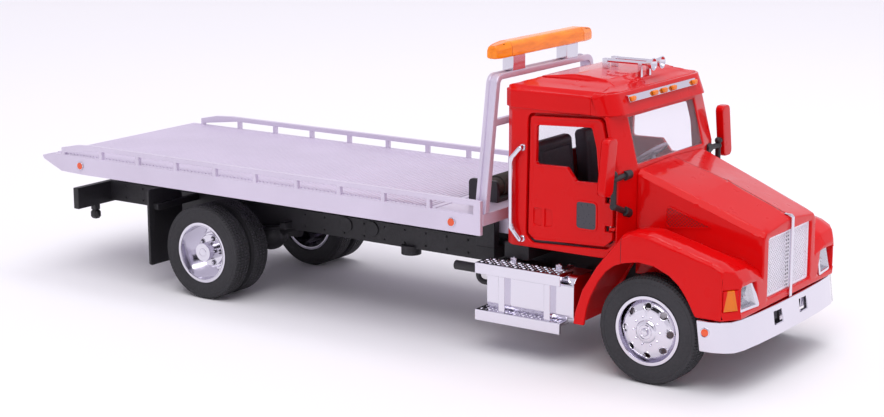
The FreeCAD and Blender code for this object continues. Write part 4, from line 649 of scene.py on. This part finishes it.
def wheelFace(node, face):
    plan = wheelPlan
    low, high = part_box(node)
    side = 1 if high.y > 0 else -1
    outward = Vector((0, side, 0))
    centre = Vector(((low.x + high.x) / 2, side * plan["beyond"] * mm, (low.z + high.z) / 2))
    surface = surfaceOf(node)

    def landAt(radius, count=1, index=0):
        angle = math.tau * index / count
        start = centre + Vector((math.cos(angle), 0, math.sin(angle))) * radius * mm
        return land(surface, start, -outward)[0]

    bm = bmesh.new()
    sunk = outward * plan["sink"] * mm
    nut, tall = face["nutRadius"], face["nutHeight"]
    for index in range(face["nuts"]):
        spot = landAt(face["nutCircle"], face["nuts"], index)
        # Round each rear nut, a black disc inside a chrome ring: the disc is painted shade on the floor of
        # the nut's recess
        if "recess" in face:
            shade = stud(bm, spot - sunk, outward, plan["shade"], face["recess"])
            for patch in {patch for vert in shade for patch in vert.link_faces}:
                patch.material_index = 1
            hoop(bm, spot, outward, face["recess"], face["recessThick"], 24)
        stud(bm, spot - sunk, outward, tall, nut, nut * plan["nutTip"], 6)
        stud(bm, spot, outward, tall + plan["pinRise"], nut * plan["pinShare"], None, 8)
    spot = landAt(0)
    boss = face["bossRadius"]
    turned(bm, [(boss, -plan["sink"])] + [(boss * out, face["bossHeight"] * up) for out, up in plan["boss"]],
        spot, outward, 32)
    for circle in face.get("stepCircles", ()):
        hoop(bm, Vector((centre.x, landAt(circle).y, centre.z)), outward, circle, face["stepThick"], 64)
    if "lipRadius" in face:
        hoop(bm, spot - outward * plan["ringSink"] * mm, outward, boss * plan["ringShare"],
            plan["ringThick"])
        for index in range(face["holes"]):
            inner, outer = (landAt(face["holeCircle"] + way * plan["lipReach"], face["holes"], index)
                for way in (-1, 1))
            slope = (outer - inner).normalized()
            facing = slope.cross(outward.cross(slope))
            facing = facing if facing.dot(outward) > 0 else -facing
            middle = (inner + outer) / 2 + facing * plan["lipRise"] * mm
            hoop(bm, middle, facing, face["lipRadius"], face["lipThick"], 28)
    addPiece(node + "_nuts", bm, nodes[node]["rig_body"], "chrome_trim", ("chrome_trim", "black_plastic"))


for end in ("left", "right"):
    wheelFace("front_rim_" + end, frontFace)
    wheelFace("rear_rim_" + end, rearFace)
print("wheel faces made")


# Grille: diamond mesh in a frame, a ladder of square holes on either side of its bar
grillePlan = {"cell": 0.80, "strand": 0.17, "thick": 0.4, "rim": 0.8, "corner": 0.9, "leastCell": 0.3,
    "ladderHalf": 1.35, "ladderSteps": 15, "ladderRim": 0.24, "backGap": 0.5, "backThick": 0.4,
    "frontInset": 0.2, "edge": 0.32, "spread": 1.5}


# A flat sheet of cells facing forward, opened into a mesh and given thickness
def openSheet(bm, frontX, strand):
    openCells(bm, strand, grillePlan["leastCell"])
    for vert in bm.verts:
        vert.co.x = frontX
    bmesh.ops.recalc_face_normals(bm, faces=bm.faces[:])
    bmesh.ops.solidify(bm, geom=bm.faces[:], thickness=grillePlan["thick"] * mm)
    high = max(vert.co.x for vert in bm.verts)
    bmesh.ops.translate(bm, vec=(frontX - high, 0, 0), verts=bm.verts[:])


def meshGrille():
    plan = grillePlan
    low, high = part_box("grille")
    frontX = high.x - plan["frontInset"] * mm
    middle = (low + high) / 2
    reach = plan["spread"] * max(high.y - middle.y, high.z - middle.z)
    count = int(2 * reach / mm / plan["cell"])
    facing = Matrix.Rotation(math.radians(90), 4, "Y")
    bm = bmesh.new()
    bmesh.ops.create_grid(bm, x_segments=count, y_segments=count, size=reach,
        matrix=Matrix.Translation((frontX, middle.y, middle.z)) @ facing
        @ Matrix.Rotation(math.radians(45), 4, "Z"))
    edge = Vector((0, plan["edge"], plan["edge"])) * mm
    for axis in (Vector((0, 1, 0)), Vector((0, 0, 1))):
        cutAcross(bm, high - edge, axis, clear=True)
        cutAcross(bm, low + edge, -axis, clear=True)
    ladderHalf = plan["ladderHalf"] * mm
    for side in (-1, 1):
        cutAcross(bm, Vector((0, side * ladderHalf, 0)), Vector((0, 1, 0)))
    middleFaces = [face for face in bm.faces if abs(face.calc_center_median().y) < ladderHalf]
    bmesh.ops.delete(bm, geom=middleFaces, context="FACES")
    openSheet(bm, frontX, plan["strand"])
    ladder = bmesh.new()
    stretch = Matrix.Diagonal((1, 2 * plan["ladderHalf"], (high.z - low.z) / mm - plan["rim"], 1))
    bmesh.ops.create_grid(ladder, x_segments=plan["ladderSteps"], y_segments=2, size=mm / 2,
        matrix=Matrix.Translation((frontX, 0, middle.z)) @ stretch @ facing)
    openSheet(ladder, frontX, plan["ladderRim"])
    joinInto(bm, ladder)
    plateFrame(bm, low, high, "X", plan["corner"], plan["rim"])
    addPiece("grille_mesh", bm, "chassis", "chrome_trim", ("satin_mesh_and_lit_wheel",), replaced=("grille",), smooth=30)
    # A black sheet behind the mesh: painted shade for the dark inside of the hood, seen through its holes
    bm = bmesh.new()
    backX = low.x - plan["backGap"] * mm
    box(bm, Vector((backX - plan["backThick"] * mm, low.y + edge.y, low.z + edge.z)),
        Vector((backX, high.y - edge.y, high.z - edge.z)))
    addPiece("grille_shade_sheet", bm, "chassis", "black_plastic")


meshGrille()
print("grille made")


# Headlamps: a chrome rim round a deep reflector box with a small bulb
lampPlan = {"least": 10, "steps": ((0.7, 0), (0.12, -0.12)), "slope": 0.35, "deep": 1.3, "cornerShare": 0.25,
    "apex": 0.5, "bulb": 0.75, "bulbLong": 1.3}


def headlamps():
    plan = lampPlan
    bm = cleanCopy("headlamps")
    faces = facesTowards(bm, (1, 0, 0), plan["least"])
    insetSteps(bm, faces, plan["steps"])
    walls = bmesh.ops.inset_region(bm, faces=faces, thickness=plan["slope"] * mm, depth=-plan["deep"] * mm,
        use_even_offset=True)["faces"]
    middles = [face.calc_center_median() for face in faces]
    poked = bmesh.ops.poke(bm, faces=faces, offset=-plan["apex"] * mm)
    for vert in poked["verts"]:
        nearCorner = min((v for edge in vert.link_edges for v in edge.verts if v is not vert),
            key=lambda v: abs(v.co.y) + v.co.z)
        vert.co = vert.co.lerp(nearCorner.co, plan["cornerShare"])
    for face in list(walls) + list(poked["faces"]):
        face.material_index = 1
    for middle in middles:
        bulb = bmesh.new()
        bmesh.ops.create_uvsphere(bulb, u_segments=20, v_segments=12, radius=plan["bulb"] * mm)
        bmesh.ops.scale(bulb, vec=(plan["bulbLong"], 1, 1), verts=bulb.verts[:])
        bmesh.ops.translate(bulb, vec=middle, verts=bulb.verts[:])
        for face in bulb.faces:
            face.material_index = 1
        joinInto(bm, bulb)
    addPiece("headlamp_units", bm, "chassis", "chrome_trim", ("chrome_trim", "lamp_reflector"),
        replaced=("headlamps",), smooth=25)


headlamps()
print("headlamps made")


# Bumper: side markers in bezels, and the blocks seen inside the two slots
bumperPlan = {"markerX": 194.0, "markerZ": 19.5, "bezelRadius": 1.3, "bezelThick": 0.22,
    "lens": ((1.15, -0.2), (1.15, 0.1225), (0.92, 0.28), (0.5175, 0.35), (0, 0.35)),
    "blockX": (200.2, 201.6), "blockY": (5.7, 8.52), "blockZ": (17.5, 20.5), "blockEdge": 0.3}


def bumperDetail():
    plan = bumperPlan
    surface = surfaceOf("bumper")
    lens = bmesh.new()
    bezel = bmesh.new()
    blocks = bmesh.new()
    for side in (-1, 1):
        spot, normal = landFrom(surface, plan["markerX"], side, plan["markerZ"])
        turned(lens, plan["lens"], spot, normal, 28)
        hoop(bezel, spot, normal, plan["bezelRadius"], plan["bezelThick"], 32)
        part = bmesh.new()
        box(part, *cornersAt(side, plan["blockX"], plan["blockY"], plan["blockZ"]))
        roundEdges(part, plan["blockEdge"])
        joinInto(blocks, part)
    addPiece("bumper_marker_lenses", lens, "chassis", "red_plastic")
    addPiece("bumper_marker_bezels", bezel, "chassis", "chrome_trim")
    addPiece("tow_slot_blocks", blocks, "chassis", "black_plastic", ("cab_grey",), even=True)


bumperDetail()
print("bumper detail made")


# Hood side vents: a teardrop of fine mesh inside a thin raised rim, over a darker red sheet that is painted
# shade for the vent's hollow
ventPlan = {"corners": ((171.4, 51.6), (187.0, 45.9), (171.3, 44.2)), "startY": 22.2, "round": 2.0,
    "rim": 0.35, "rise": 0.4, "cell": 0.75, "strand": 0.13, "meshRise": 0.16, "leastCell": 0.15,
    "sheetRise": 0.02, "backRise": 0.06, "reach": 9.0}


# Cells laid over the vent's plane, cut to its triangle and across the triangle's rounded corners
def ventMesh(spots, normal):
    plan = ventPlan
    middle = sum(spots, Vector()) / 3
    turn = normal.to_track_quat("Z", "Y").to_matrix().to_4x4()
    count = int(2 * plan["reach"] / plan["cell"])
    part = bmesh.new()
    bmesh.ops.create_grid(part, x_segments=count, y_segments=count, size=plan["reach"] * mm,
        matrix=Matrix.Translation(middle) @ turn @ Matrix.Rotation(math.radians(45), 4, "Z"))
    for start, end in zip(spots, spots[1:] + spots[:1]):
        outward = (end - start).cross(normal).normalized()
        outward = outward if outward.dot(middle - start) < 0 else -outward
        cutAcross(part, start, outward, clear=True)
    for index, spot in enumerate(spots):
        half = (spots[index - 1] - spot).angle(spots[index - 2] - spot) / 2
        depth = plan["round"] * (1 - math.sin(half)) / math.cos(half)
        outward = (spot - middle).normalized()
        cutAcross(part, spot - outward * depth * mm, outward, clear=True)
    openCells(part, plan["strand"], plan["leastCell"])
    bmesh.ops.translate(part, vec=normal * plan["meshRise"] * mm, verts=part.verts[:])
    return part


def hoodVents():
    plan = ventPlan
    surface = surfaceOf("hood_and_fenders")
    screens = bmesh.new()
    shade_sheet = bmesh.new()
    for side in (-1, 1):
        spots = [landFrom(surface, x, side, z, plan["startY"])[0] for x, z in plan["corners"]]
        normal = (spots[1] - spots[0]).cross(spots[2] - spots[0]).normalized()
        normal = normal if normal.y * side > 0 else -normal
        part = bmesh.new()
        verts = [part.verts.new(spot + normal * plan["sheetRise"] * mm) for spot in spots]
        part.faces.new(verts)
        bmesh.ops.bevel(part, geom=verts, offset=plan["round"] * mm, offset_type="OFFSET", segments=5,
            profile=0.5, affect="VERTICES", clamp_overlap=True, material=-1)
        faces = part.faces[:]
        if faces[0].normal.dot(normal) < 0:
            bmesh.ops.reverse_faces(part, faces=faces)
        inner = part.copy()
        bmesh.ops.translate(inner, vec=normal * (plan["backRise"] - plan["sheetRise"]) * mm,
            verts=inner.verts[:])
        joinInto(shade_sheet, inner)
        bmesh.ops.remove_doubles(part, verts=part.verts[:], dist=plan["sheetRise"] * mm)
        faces = part.faces[:]
        bmesh.ops.inset_region(part, faces=faces, thickness=plan["rim"] * mm, use_boundary=True)
        bmesh.ops.delete(part, geom=faces, context="FACES")
        thicken(part, normal * plan["rise"] * mm)
        joinInto(screens, part)
        joinInto(screens, ventMesh(spots, normal))
    addPiece("hood_vent_screens", screens, "chassis", "red_paint")
    addPiece("hood_vent_shade_sheet", shade_sheet, "chassis", "red_paint", ("red_painted_shade",))


hoodVents()
print("hood vents made")


# A round tube through the given points, its corners bent to a radius
def bentTube(bm, points, radius, bend, steps=6, rings=3):
    path = [points[0]]
    for before, corner, after in zip(points, points[1:], points[2:]):
        reach = min(bend * mm, (corner - before).length / 2, (after - corner).length / 2)
        start = corner + (before - corner).normalized() * reach
        end = corner + (after - corner).normalized() * reach
        for index in range(steps + 1):
            share = index / steps
            path.append(start.lerp(corner, share).lerp(corner.lerp(end, share), share))
    path.append(points[-1])
    curve = bpy.data.curves.new("tube", "CURVE")
    curve.dimensions = "3D"
    curve.bevel_depth = radius * mm
    curve.bevel_resolution = rings
    curve.use_fill_caps = True
    spline = curve.splines.new("POLY")
    spline.points.add(len(path) - 1)
    for point, spot in zip(spline.points, path):
        point.co = (*spot, 1)
    obj = bpy.data.objects.new("tube", curve)
    bpy.context.scene.collection.objects.link(obj)
    bpy.context.view_layer.update()
    mesh = bpy.data.meshes.new_from_object(obj.evaluated_get(bpy.context.evaluated_depsgraph_get()))
    bm.from_mesh(mesh)
    bpy.data.objects.remove(obj)
    bpy.data.curves.remove(curve)
    bpy.data.meshes.remove(mesh)


# Grab handles behind the doors, each a bent tube on two small flanges
handlePlan = {"radius": 0.75, "bend": 3.0, "footX": 126.6, "barX": 123.35, "skin": 30.5, "out": 32.1,
    "lowZ": 37.0, "highZ": 65.6, "bendZ": 3.4, "flange": 1.15, "flangeTip": 1.0, "flangeThick": 0.35}


def grabHandles():
    plan = handlePlan
    foot, bar, low, high = plan["footX"], plan["barX"], plan["lowZ"], plan["highZ"]
    bm = bmesh.new()
    for side in (-1, 1):
        skin, out = side * plan["skin"], side * plan["out"]
        spots = [(foot, skin, low), (foot, out, low), (bar, out, low + plan["bendZ"]),
            (bar, out, high - plan["bendZ"]), (foot, out, high), (foot, skin, high)]
        bentTube(bm, [at(*spot) for spot in spots], plan["radius"], plan["bend"])
        for z in (low, high):
            stud(bm, at(foot, skin, z), Vector((0, side, 0)), plan["flangeThick"], plan["flange"],
                plan["flangeTip"])
    bmesh.ops.remove_doubles(bm, verts=bm.verts[:], dist=tolerance["merge"] * mm)
    addPiece("grab_rails", bm, "chassis", "chrome_trim", replaced=("grab_handles",))


grabHandles()
print("grab handles made")


# Steering wheel and the gauges behind it
helmPlan = {"centre": (147.0, 13.5, 59.0), "tilt": 55, "radius": 5.6, "thick": 0.6,
    "hub": ((0, -0.7), (0.9, -0.7), (1.5, -0.35), (1.5, 0.5), (0.8, 1.2), (0.8, 6.2), (0, 6.2)),
    "spokes": (0, 130, 230), "spoke": 0.4, "spokeBend": 1.5, "spokeFrom": 0.1, "spokeDip": 0.5,
    "lookX": 131.0, "gaugeZ": 56.3, "gaugeYs": (10.4, 13.5, 16.6), "gauge": 1.3, "bezel": 0.16,
    "dialSink": 0.05, "dialThick": 0.1}


def steering():
    plan = helmPlan
    centre = at(*plan["centre"])
    tilt = math.radians(plan["tilt"])
    axis = Vector((math.cos(tilt), 0, -math.sin(tilt)))
    bm = bmesh.new()
    hoop(bm, centre, axis, plan["radius"], plan["thick"], 48, 12)
    turned(bm, plan["hub"], centre, axis, 32)
    down = -axis.cross(Vector((0, 1, 0))).normalized()
    for angle in plan["spokes"]:
        end = centre + Matrix.Rotation(math.radians(angle), 3, axis) @ down * plan["radius"] * mm
        bentTube(bm, [centre + axis * plan["spokeFrom"] * mm,
            centre.lerp(end, 0.5) + axis * plan["spokeDip"] * mm, end], plan["spoke"], plan["spokeBend"])
    # The ring takes the paler satin, not silver_plastic: painted light that lifts it out of the cab's shade
    addPiece("steering_wheel_ring", bm, "chassis", "silver_plastic", ("satin_mesh_and_lit_wheel",),
        replaced=("steering_wheel",))
    bm = bmesh.new()
    surface = surfaceOf("dashboard")
    for y in plan["gaugeYs"]:
        spot, normal = land(surface, at(plan["lookX"], y, plan["gaugeZ"]), Vector((1, 0, 0)))
        hoop(bm, spot, normal, plan["gauge"], plan["bezel"], 28)
        stud(bm, spot - normal * plan["dialSink"] * mm, normal, plan["dialThick"], plan["gauge"])
    addPiece("gauge_bezels", bm, "chassis", "chrome_trim")


steering()
print("steering wheel made")


# Bed: crosswise ribs on the deck, marker bezels and the winch's rope
bedPlan = {"ribPitch": 1.6, "ribRise": 0.26, "ribSink": 0.03, "ribTop": 0.6, "ribFrom": -69.5, "ribTo": 96.5,
    "ribHalf": 36.2, "markers": (-56.0, 105.4), "markerZ": 40.95, "bezel": 1.3, "bezelThick": 0.2,
    "bezelSink": 0.25}
ropePlan = {"radius": 0.42, "drumDrop": 3.6, "lean": 0.02,
    "layers": ({"radius": 2.75, "from": -17.9, "to": 8.2}, {"radius": 3.45, "from": -12.0, "to": 3.0})}


def deckRibs():
    plan = bedPlan
    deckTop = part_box("bed_deck")[1].z
    long = plan["ribTo"] - plan["ribFrom"]
    middle = at(plan["ribFrom"] + long / 2, 0, 0)
    bm = bmesh.new()
    bmesh.ops.create_grid(bm, x_segments=int(long / plan["ribPitch"]) * 2, y_segments=1, size=mm / 2,
        matrix=Matrix.Translation((middle.x, 0, deckTop - plan["ribSink"] * mm))
        @ Matrix.Diagonal((long, plan["ribHalf"] * 2, 1, 1)))
    strips = sorted(bm.faces, key=lambda face: face.calc_center_median().x)
    bmesh.ops.delete(bm, geom=strips[1::2], context="FACES")
    ribs = bmesh.ops.extrude_discrete_faces(bm, faces=bm.faces[:])["faces"]
    bmesh.ops.translate(bm, vec=(0, 0, (plan["ribRise"] + plan["ribSink"]) * mm),
        verts=list({vert for face in ribs for vert in face.verts}))
    for face in ribs:
        middle = face.calc_center_median()
        for vert in face.verts:
            vert.co.x = middle.x + (vert.co.x - middle.x) * plan["ribTop"]
    bmesh.ops.recalc_face_normals(bm, faces=bm.faces[:])
    addPiece("deck_ribs", bm, "bed", "silver_plastic")


def bedMarkers():
    plan = bedPlan
    surface = surfaceOf("bed_markers")
    bezel = bmesh.new()
    for x in plan["markers"]:
        for side in (-1, 1):
            spot = landFrom(surface, x, side, plan["markerZ"])[0]
            hoop(bezel, spot - Vector((0, side * plan["bezelSink"] * mm, 0)), (0, side, 0), plan["bezel"],
                plan["bezelThick"], 32)
    addPiece("bed_marker_bezels", bezel, "bed", "chrome_trim")


def winchRopeCoil():
    plan = ropePlan
    low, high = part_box("winch")
    middleX = (low.x + high.x) / 2
    drumZ = high.z - plan["drumDrop"] * mm
    bm = bmesh.new()
    for layer in plan["layers"]:
        long = layer["to"] - layer["from"]
        count = int(long / (plan["radius"] * 2))
        for index in range(count):
            y = layer["from"] + long * (index + 0.5) / count
            hoop(bm, Vector((middleX, y * mm, drumZ)), (plan["lean"], 1, 0), layer["radius"], plan["radius"],
                24, 6)
    addPiece("winch_rope", bm, "bed", "black_plastic", ("winch_rope",))


deckRibs()
bedMarkers()
winchRopeCoil()
print("bed detail made")


# Steps: raised lozenges on the two treads of each side, and fine lines round the tank straps
stepPlan = {"rearX": 113.9, "frontX": 144.8, "innerY": 30.0, "outerY": 38.0, "tops": (29.2, 14.2),
    "pitch": 1.55, "long": 0.62, "wide": 0.2, "lift": 0.064, "tall": 0.192, "topShare": 0.55, "turn": 45,
    "margin": 0.7}
strapPlan = {"starts": (122.0, 138.5), "width": 2.2, "shares": (0.2, 0.8), "line": 0.22, "lineDeep": 0.4,
    "tankY": 27.4, "tankZ": 20.8, "reach": 8.19, "corner": 3.2}


def stepTreads(side):
    plan = stepPlan
    columns, rows = (int((far - near - 2 * plan["margin"]) / plan["pitch"]) for near,
        far in ((plan["rearX"], plan["frontX"]), (plan["innerY"], plan["outerY"])))
    bm = bmesh.new()
    for top in plan["tops"]:
        for row in range(rows):
            for column in range(columns):
                x = plan["rearX"] + plan["margin"] + (column + 0.5) * plan["pitch"]
                y = plan["innerY"] + plan["margin"] + (row + 0.5) * plan["pitch"]
                angle = math.radians(plan["turn"] if (row + column) % 2 else -plan["turn"])
                place = (Matrix.Translation(at(x, side * y, top + plan["lift"]))
                    @ Matrix.Rotation(angle, 4, "Z") @ Matrix.Diagonal((plan["long"], plan["wide"], 1, 1)))
                bmesh.ops.create_cone(bm, cap_ends=True, segments=6, radius1=mm, matrix=place,
                    radius2=plan["topShare"] * mm, depth=plan["tall"] * mm)
    addPiece("step_tread_" + ("left" if side > 0 else "right"), bm, "chassis", "chrome_trim")


def strapLines():
    plan = strapPlan
    reach = plan["reach"]
    bm = bmesh.new()
    for side in (-1, 1):
        for start in plan["starts"]:
            for share in plan["shares"]:
                middle = start + plan["width"] * share
                plateFrame(bm, *cornersAt(side, (middle - plan["line"] / 2, middle + plan["line"] / 2),
                    (plan["tankY"] - reach, plan["tankY"] + reach),
                    (plan["tankZ"] - reach, plan["tankZ"] + reach)), "X", plan["corner"], plan["lineDeep"])
    addPiece("strap_lines", bm, "chassis", "black_plastic")


for side in (-1, 1):
    stepTreads(side)
strapLines()
print("steps made")


# Bracket round the pipe's end, clips on the upper steps, and bolt heads on the frame, rear bar and mud flaps
bracketPlan = {"radius": 0.85, "bend": 2.6, "spots": ((117.5, -32.8, 28.0), (111.8, -32.8, 28.0),
    (111.8, -32.8, 21.8), (117.5, -32.8, 21.8))}
boltPlan = {"radius": 0.45, "height": 0.35, "sink": 0.05, "tip": 0.85, "pinShare": 0.45, "pinRise": 0.1,
    "from": -58.0, "to": 112.0, "step": 8.5, "zs": (24.6, 28.9), "axleClear": 24.0, "frameHalf": 13.8,
    "flush": 0.1, "barX": -90.0, "bar": ((-26.0, 27.6), (-14.0, 27.6), (14.0, 27.6), (26.0, 27.6)),
    "flapX": -60.0, "flapYs": (22.0, 27.0, 32.0), "flapZ": 33.6}
clipPlan = {"xs": (123.1, 139.6), "y": 29.6, "z": 29.1, "halfX": 1.1, "halfY": 0.5, "tall": 1.1, "edge": 0.2,
    "knobSink": 0.05, "knobTall": 0.35, "knobRadius": 0.4}


def boltHead(bm, spot, outward):
    plan = boltPlan
    stud(bm, spot - outward * plan["sink"] * mm, outward, plan["height"], plan["radius"],
        plan["radius"] * plan["tip"], 6)
    stud(bm, spot, outward, plan["height"] + plan["pinRise"], plan["radius"] * plan["pinShare"], None, 8)


def fixings():
    plan = boltPlan
    bm = bmesh.new()
    bentTube(bm, [at(*spot) for spot in bracketPlan["spots"]], bracketPlan["radius"], bracketPlan["bend"])
    frameSide = surfaceOf("chassis_frame")
    for index in range(math.ceil((plan["to"] - plan["from"]) / plan["step"])):
        x = plan["from"] + index * plan["step"]
        for side in (-1, 1):
            for z in plan["zs"]:
                spot = landFrom(frameSide, x, side, z)[0]
                onFace = spot and abs(abs(spot.y) / mm - plan["frameHalf"]) < plan["flush"]
                if onFace and abs(x) > plan["axleClear"]:
                    boltHead(bm, spot, Vector((0, side, 0)))
    flaps = [(side * y, plan["flapZ"]) for side in (-1, 1) for y in plan["flapYs"]]
    for node, x, spots in (("rear_bar", plan["barX"], plan["bar"]), ("mud_flaps", plan["flapX"], flaps)):
        surface = surfaceOf(node)
        for y, z in spots:
            spot = land(surface, at(x, y, z), Vector((1, 0, 0)))[0]
            if spot:
                boltHead(bm, spot, Vector((-1, 0, 0)))
    addPiece("chassis_fixings", bm, "chassis", "black_plastic")


def stepClips():
    plan = clipPlan
    top = plan["z"] + plan["tall"]
    bm = bmesh.new()
    for side in (-1, 1):
        for x in plan["xs"]:
            part = bmesh.new()
            box(part, *cornersAt(side, (x - plan["halfX"], x + plan["halfX"]),
                (plan["y"] - plan["halfY"], plan["y"] + plan["halfY"]), (plan["z"], top)))
            roundEdges(part, plan["edge"])
            joinInto(bm, part)
            stud(bm, at(x, side * plan["y"], top - plan["knobSink"]), Vector((0, 0, 1)), plan["knobTall"],
                plan["knobRadius"], None, 16)
    addPiece("step_clips", bm, "chassis", "chrome_trim", even=True)


fixings()
stepClips()
print("fixings made")


# Stage: a pale floor, and a dark card behind the camera for the chrome and the paint to reflect
sheetPlans = {
    "floor": {"size": (6.0, 6.0), "place": (0, 0, 0), "turn": 0, "colour": (0.95, 0.94, 0.96), "rough": 0.9},
    "card": {"size": (1.3, 0.42), "place": (0.25, -1.05, 0.52), "turn": 90, "colour": (0.02, 0.02, 0.02),
        "rough": 0.9},
}
skyPlan = {"colour": (0.94, 0.90, 1.0), "light": 0.65, "seen": 0.88}
sunPlan = {"downward": (-0.25, 0.35, -1.0), "strength": 1.05, "spread": 50}
lampPlans = {
    "keyLamp": {"place": (0.35, -0.75, 0.85), "aim": (0, 0, 0.04), "size": (0.5, 0.35), "power": 1.6},
    "topLamp": {"place": (0.10, 0.25, 0.9), "aim": (0.02, 0, 0.04), "size": (0.6, 0.3), "power": 1.6},
}
cameraPlan = {"spot": (434.0, -515.9, 173.2), "yaw": 34.552, "pitch": 12.372, "roll": -0.111, "lens": 77.70,
    "shift": (-0.00984, -0.00283), "near": 0.01}


def addSheet(name, plan):
    bpy.ops.mesh.primitive_plane_add(size=1, location=(0, 0, 0))
    obj = bpy.context.object
    obj.name = name
    obj.data.transform(Matrix.Translation(plan["place"])
        @ Matrix.Rotation(math.radians(plan["turn"]), 4, "X") @ Matrix.Diagonal((*plan["size"], 1, 1)))
    mat = bpy.data.materials.new(name + "Matt")
    mat.use_nodes = True
    shader = mat.node_tree.nodes["Principled BSDF"]
    shader.inputs["Base Color"].default_value = (*plan["colour"], 1)
    shader.inputs["Roughness"].default_value = plan["rough"]
    obj.data.materials.append(mat)


# The sky lights the model softly, and is paler where it is seen straight, in gloss or through glass
def addSky(plan):
    world = bpy.data.worlds.new("studio")
    world.use_nodes = True
    bpy.context.scene.world = world
    tree = world.node_tree
    back = tree.nodes["Background"]
    back.inputs["Color"].default_value = (*plan["colour"], 1)
    path = tree.nodes.new("ShaderNodeLightPath")
    seen = path.outputs["Is Camera Ray"]
    for name in ("Is Glossy Ray", "Is Transmission Ray"):
        either = tree.nodes.new("ShaderNodeMath")
        either.operation = "MAXIMUM"
        tree.links.new(seen, either.inputs[0])
        tree.links.new(path.outputs[name], either.inputs[1])
        seen = either.outputs["Value"]
    strength = tree.nodes.new("ShaderNodeMapRange")
    strength.inputs["To Min"].default_value = plan["light"]
    strength.inputs["To Max"].default_value = plan["seen"]
    tree.links.new(seen, strength.inputs["Value"])
    tree.links.new(strength.outputs["Result"], back.inputs["Strength"])


def addLight(name, kind, energy, direction):
    data = bpy.data.lights.new(name, kind)
    data.energy = energy
    obj = bpy.data.objects.new(name, data)
    obj.rotation_euler = Vector(direction).to_track_quat("-Z", "Y").to_euler()
    bpy.context.scene.collection.objects.link(obj)
    return obj


def addLamp(name, plan):
    obj = addLight(name, "AREA", plan["power"], Vector(plan["aim"]) - Vector(plan["place"]))
    obj.location = plan["place"]
    obj.data.shape = "RECTANGLE"
    obj.data.size, obj.data.size_y = plan["size"]


# The camera as solved from the photo, its place in the part's millimetres and its angles in degrees
def addCamera(plan):
    yaw, pitch, roll = (math.radians(plan[key]) for key in ("yaw", "pitch", "roll"))
    ahead = Vector((-math.sin(yaw) * math.cos(pitch), math.cos(yaw) * math.cos(pitch), -math.sin(pitch)))
    right = Vector((math.cos(yaw), math.sin(yaw), 0))
    up = right.cross(ahead)
    turnedRight = right * math.cos(roll) + up * math.sin(roll)
    turnedUp = up * math.cos(roll) - right * math.sin(roll)
    data = bpy.data.cameras.new("photoCamera")
    data.lens = plan["lens"]
    data.shift_x, data.shift_y = plan["shift"]
    data.clip_start = plan["near"]
    obj = bpy.data.objects.new("photoCamera", data)
    axes = Matrix((turnedRight, turnedUp, -ahead)).transposed()
    obj.matrix_world = Matrix.Translation(at(*plan["spot"])) @ axes.to_4x4()
    bpy.context.scene.collection.objects.link(obj)
    bpy.context.scene.camera = obj


for name, plan in sheetPlans.items():
    addSheet(name, plan)
addSky(skyPlan)
# Even light from above, so that the floor is as pale far off as near by
sun = addLight("skyLight", "SUN", sunPlan["strength"], sunPlan["downward"])
sun.data.angle = math.radians(sunPlan["spread"])
for name, plan in lampPlans.items():
    addLamp(name, plan)
addCamera(cameraPlan)
bpy.context.scene.view_settings.view_transform = "Standard"
print("stage set")
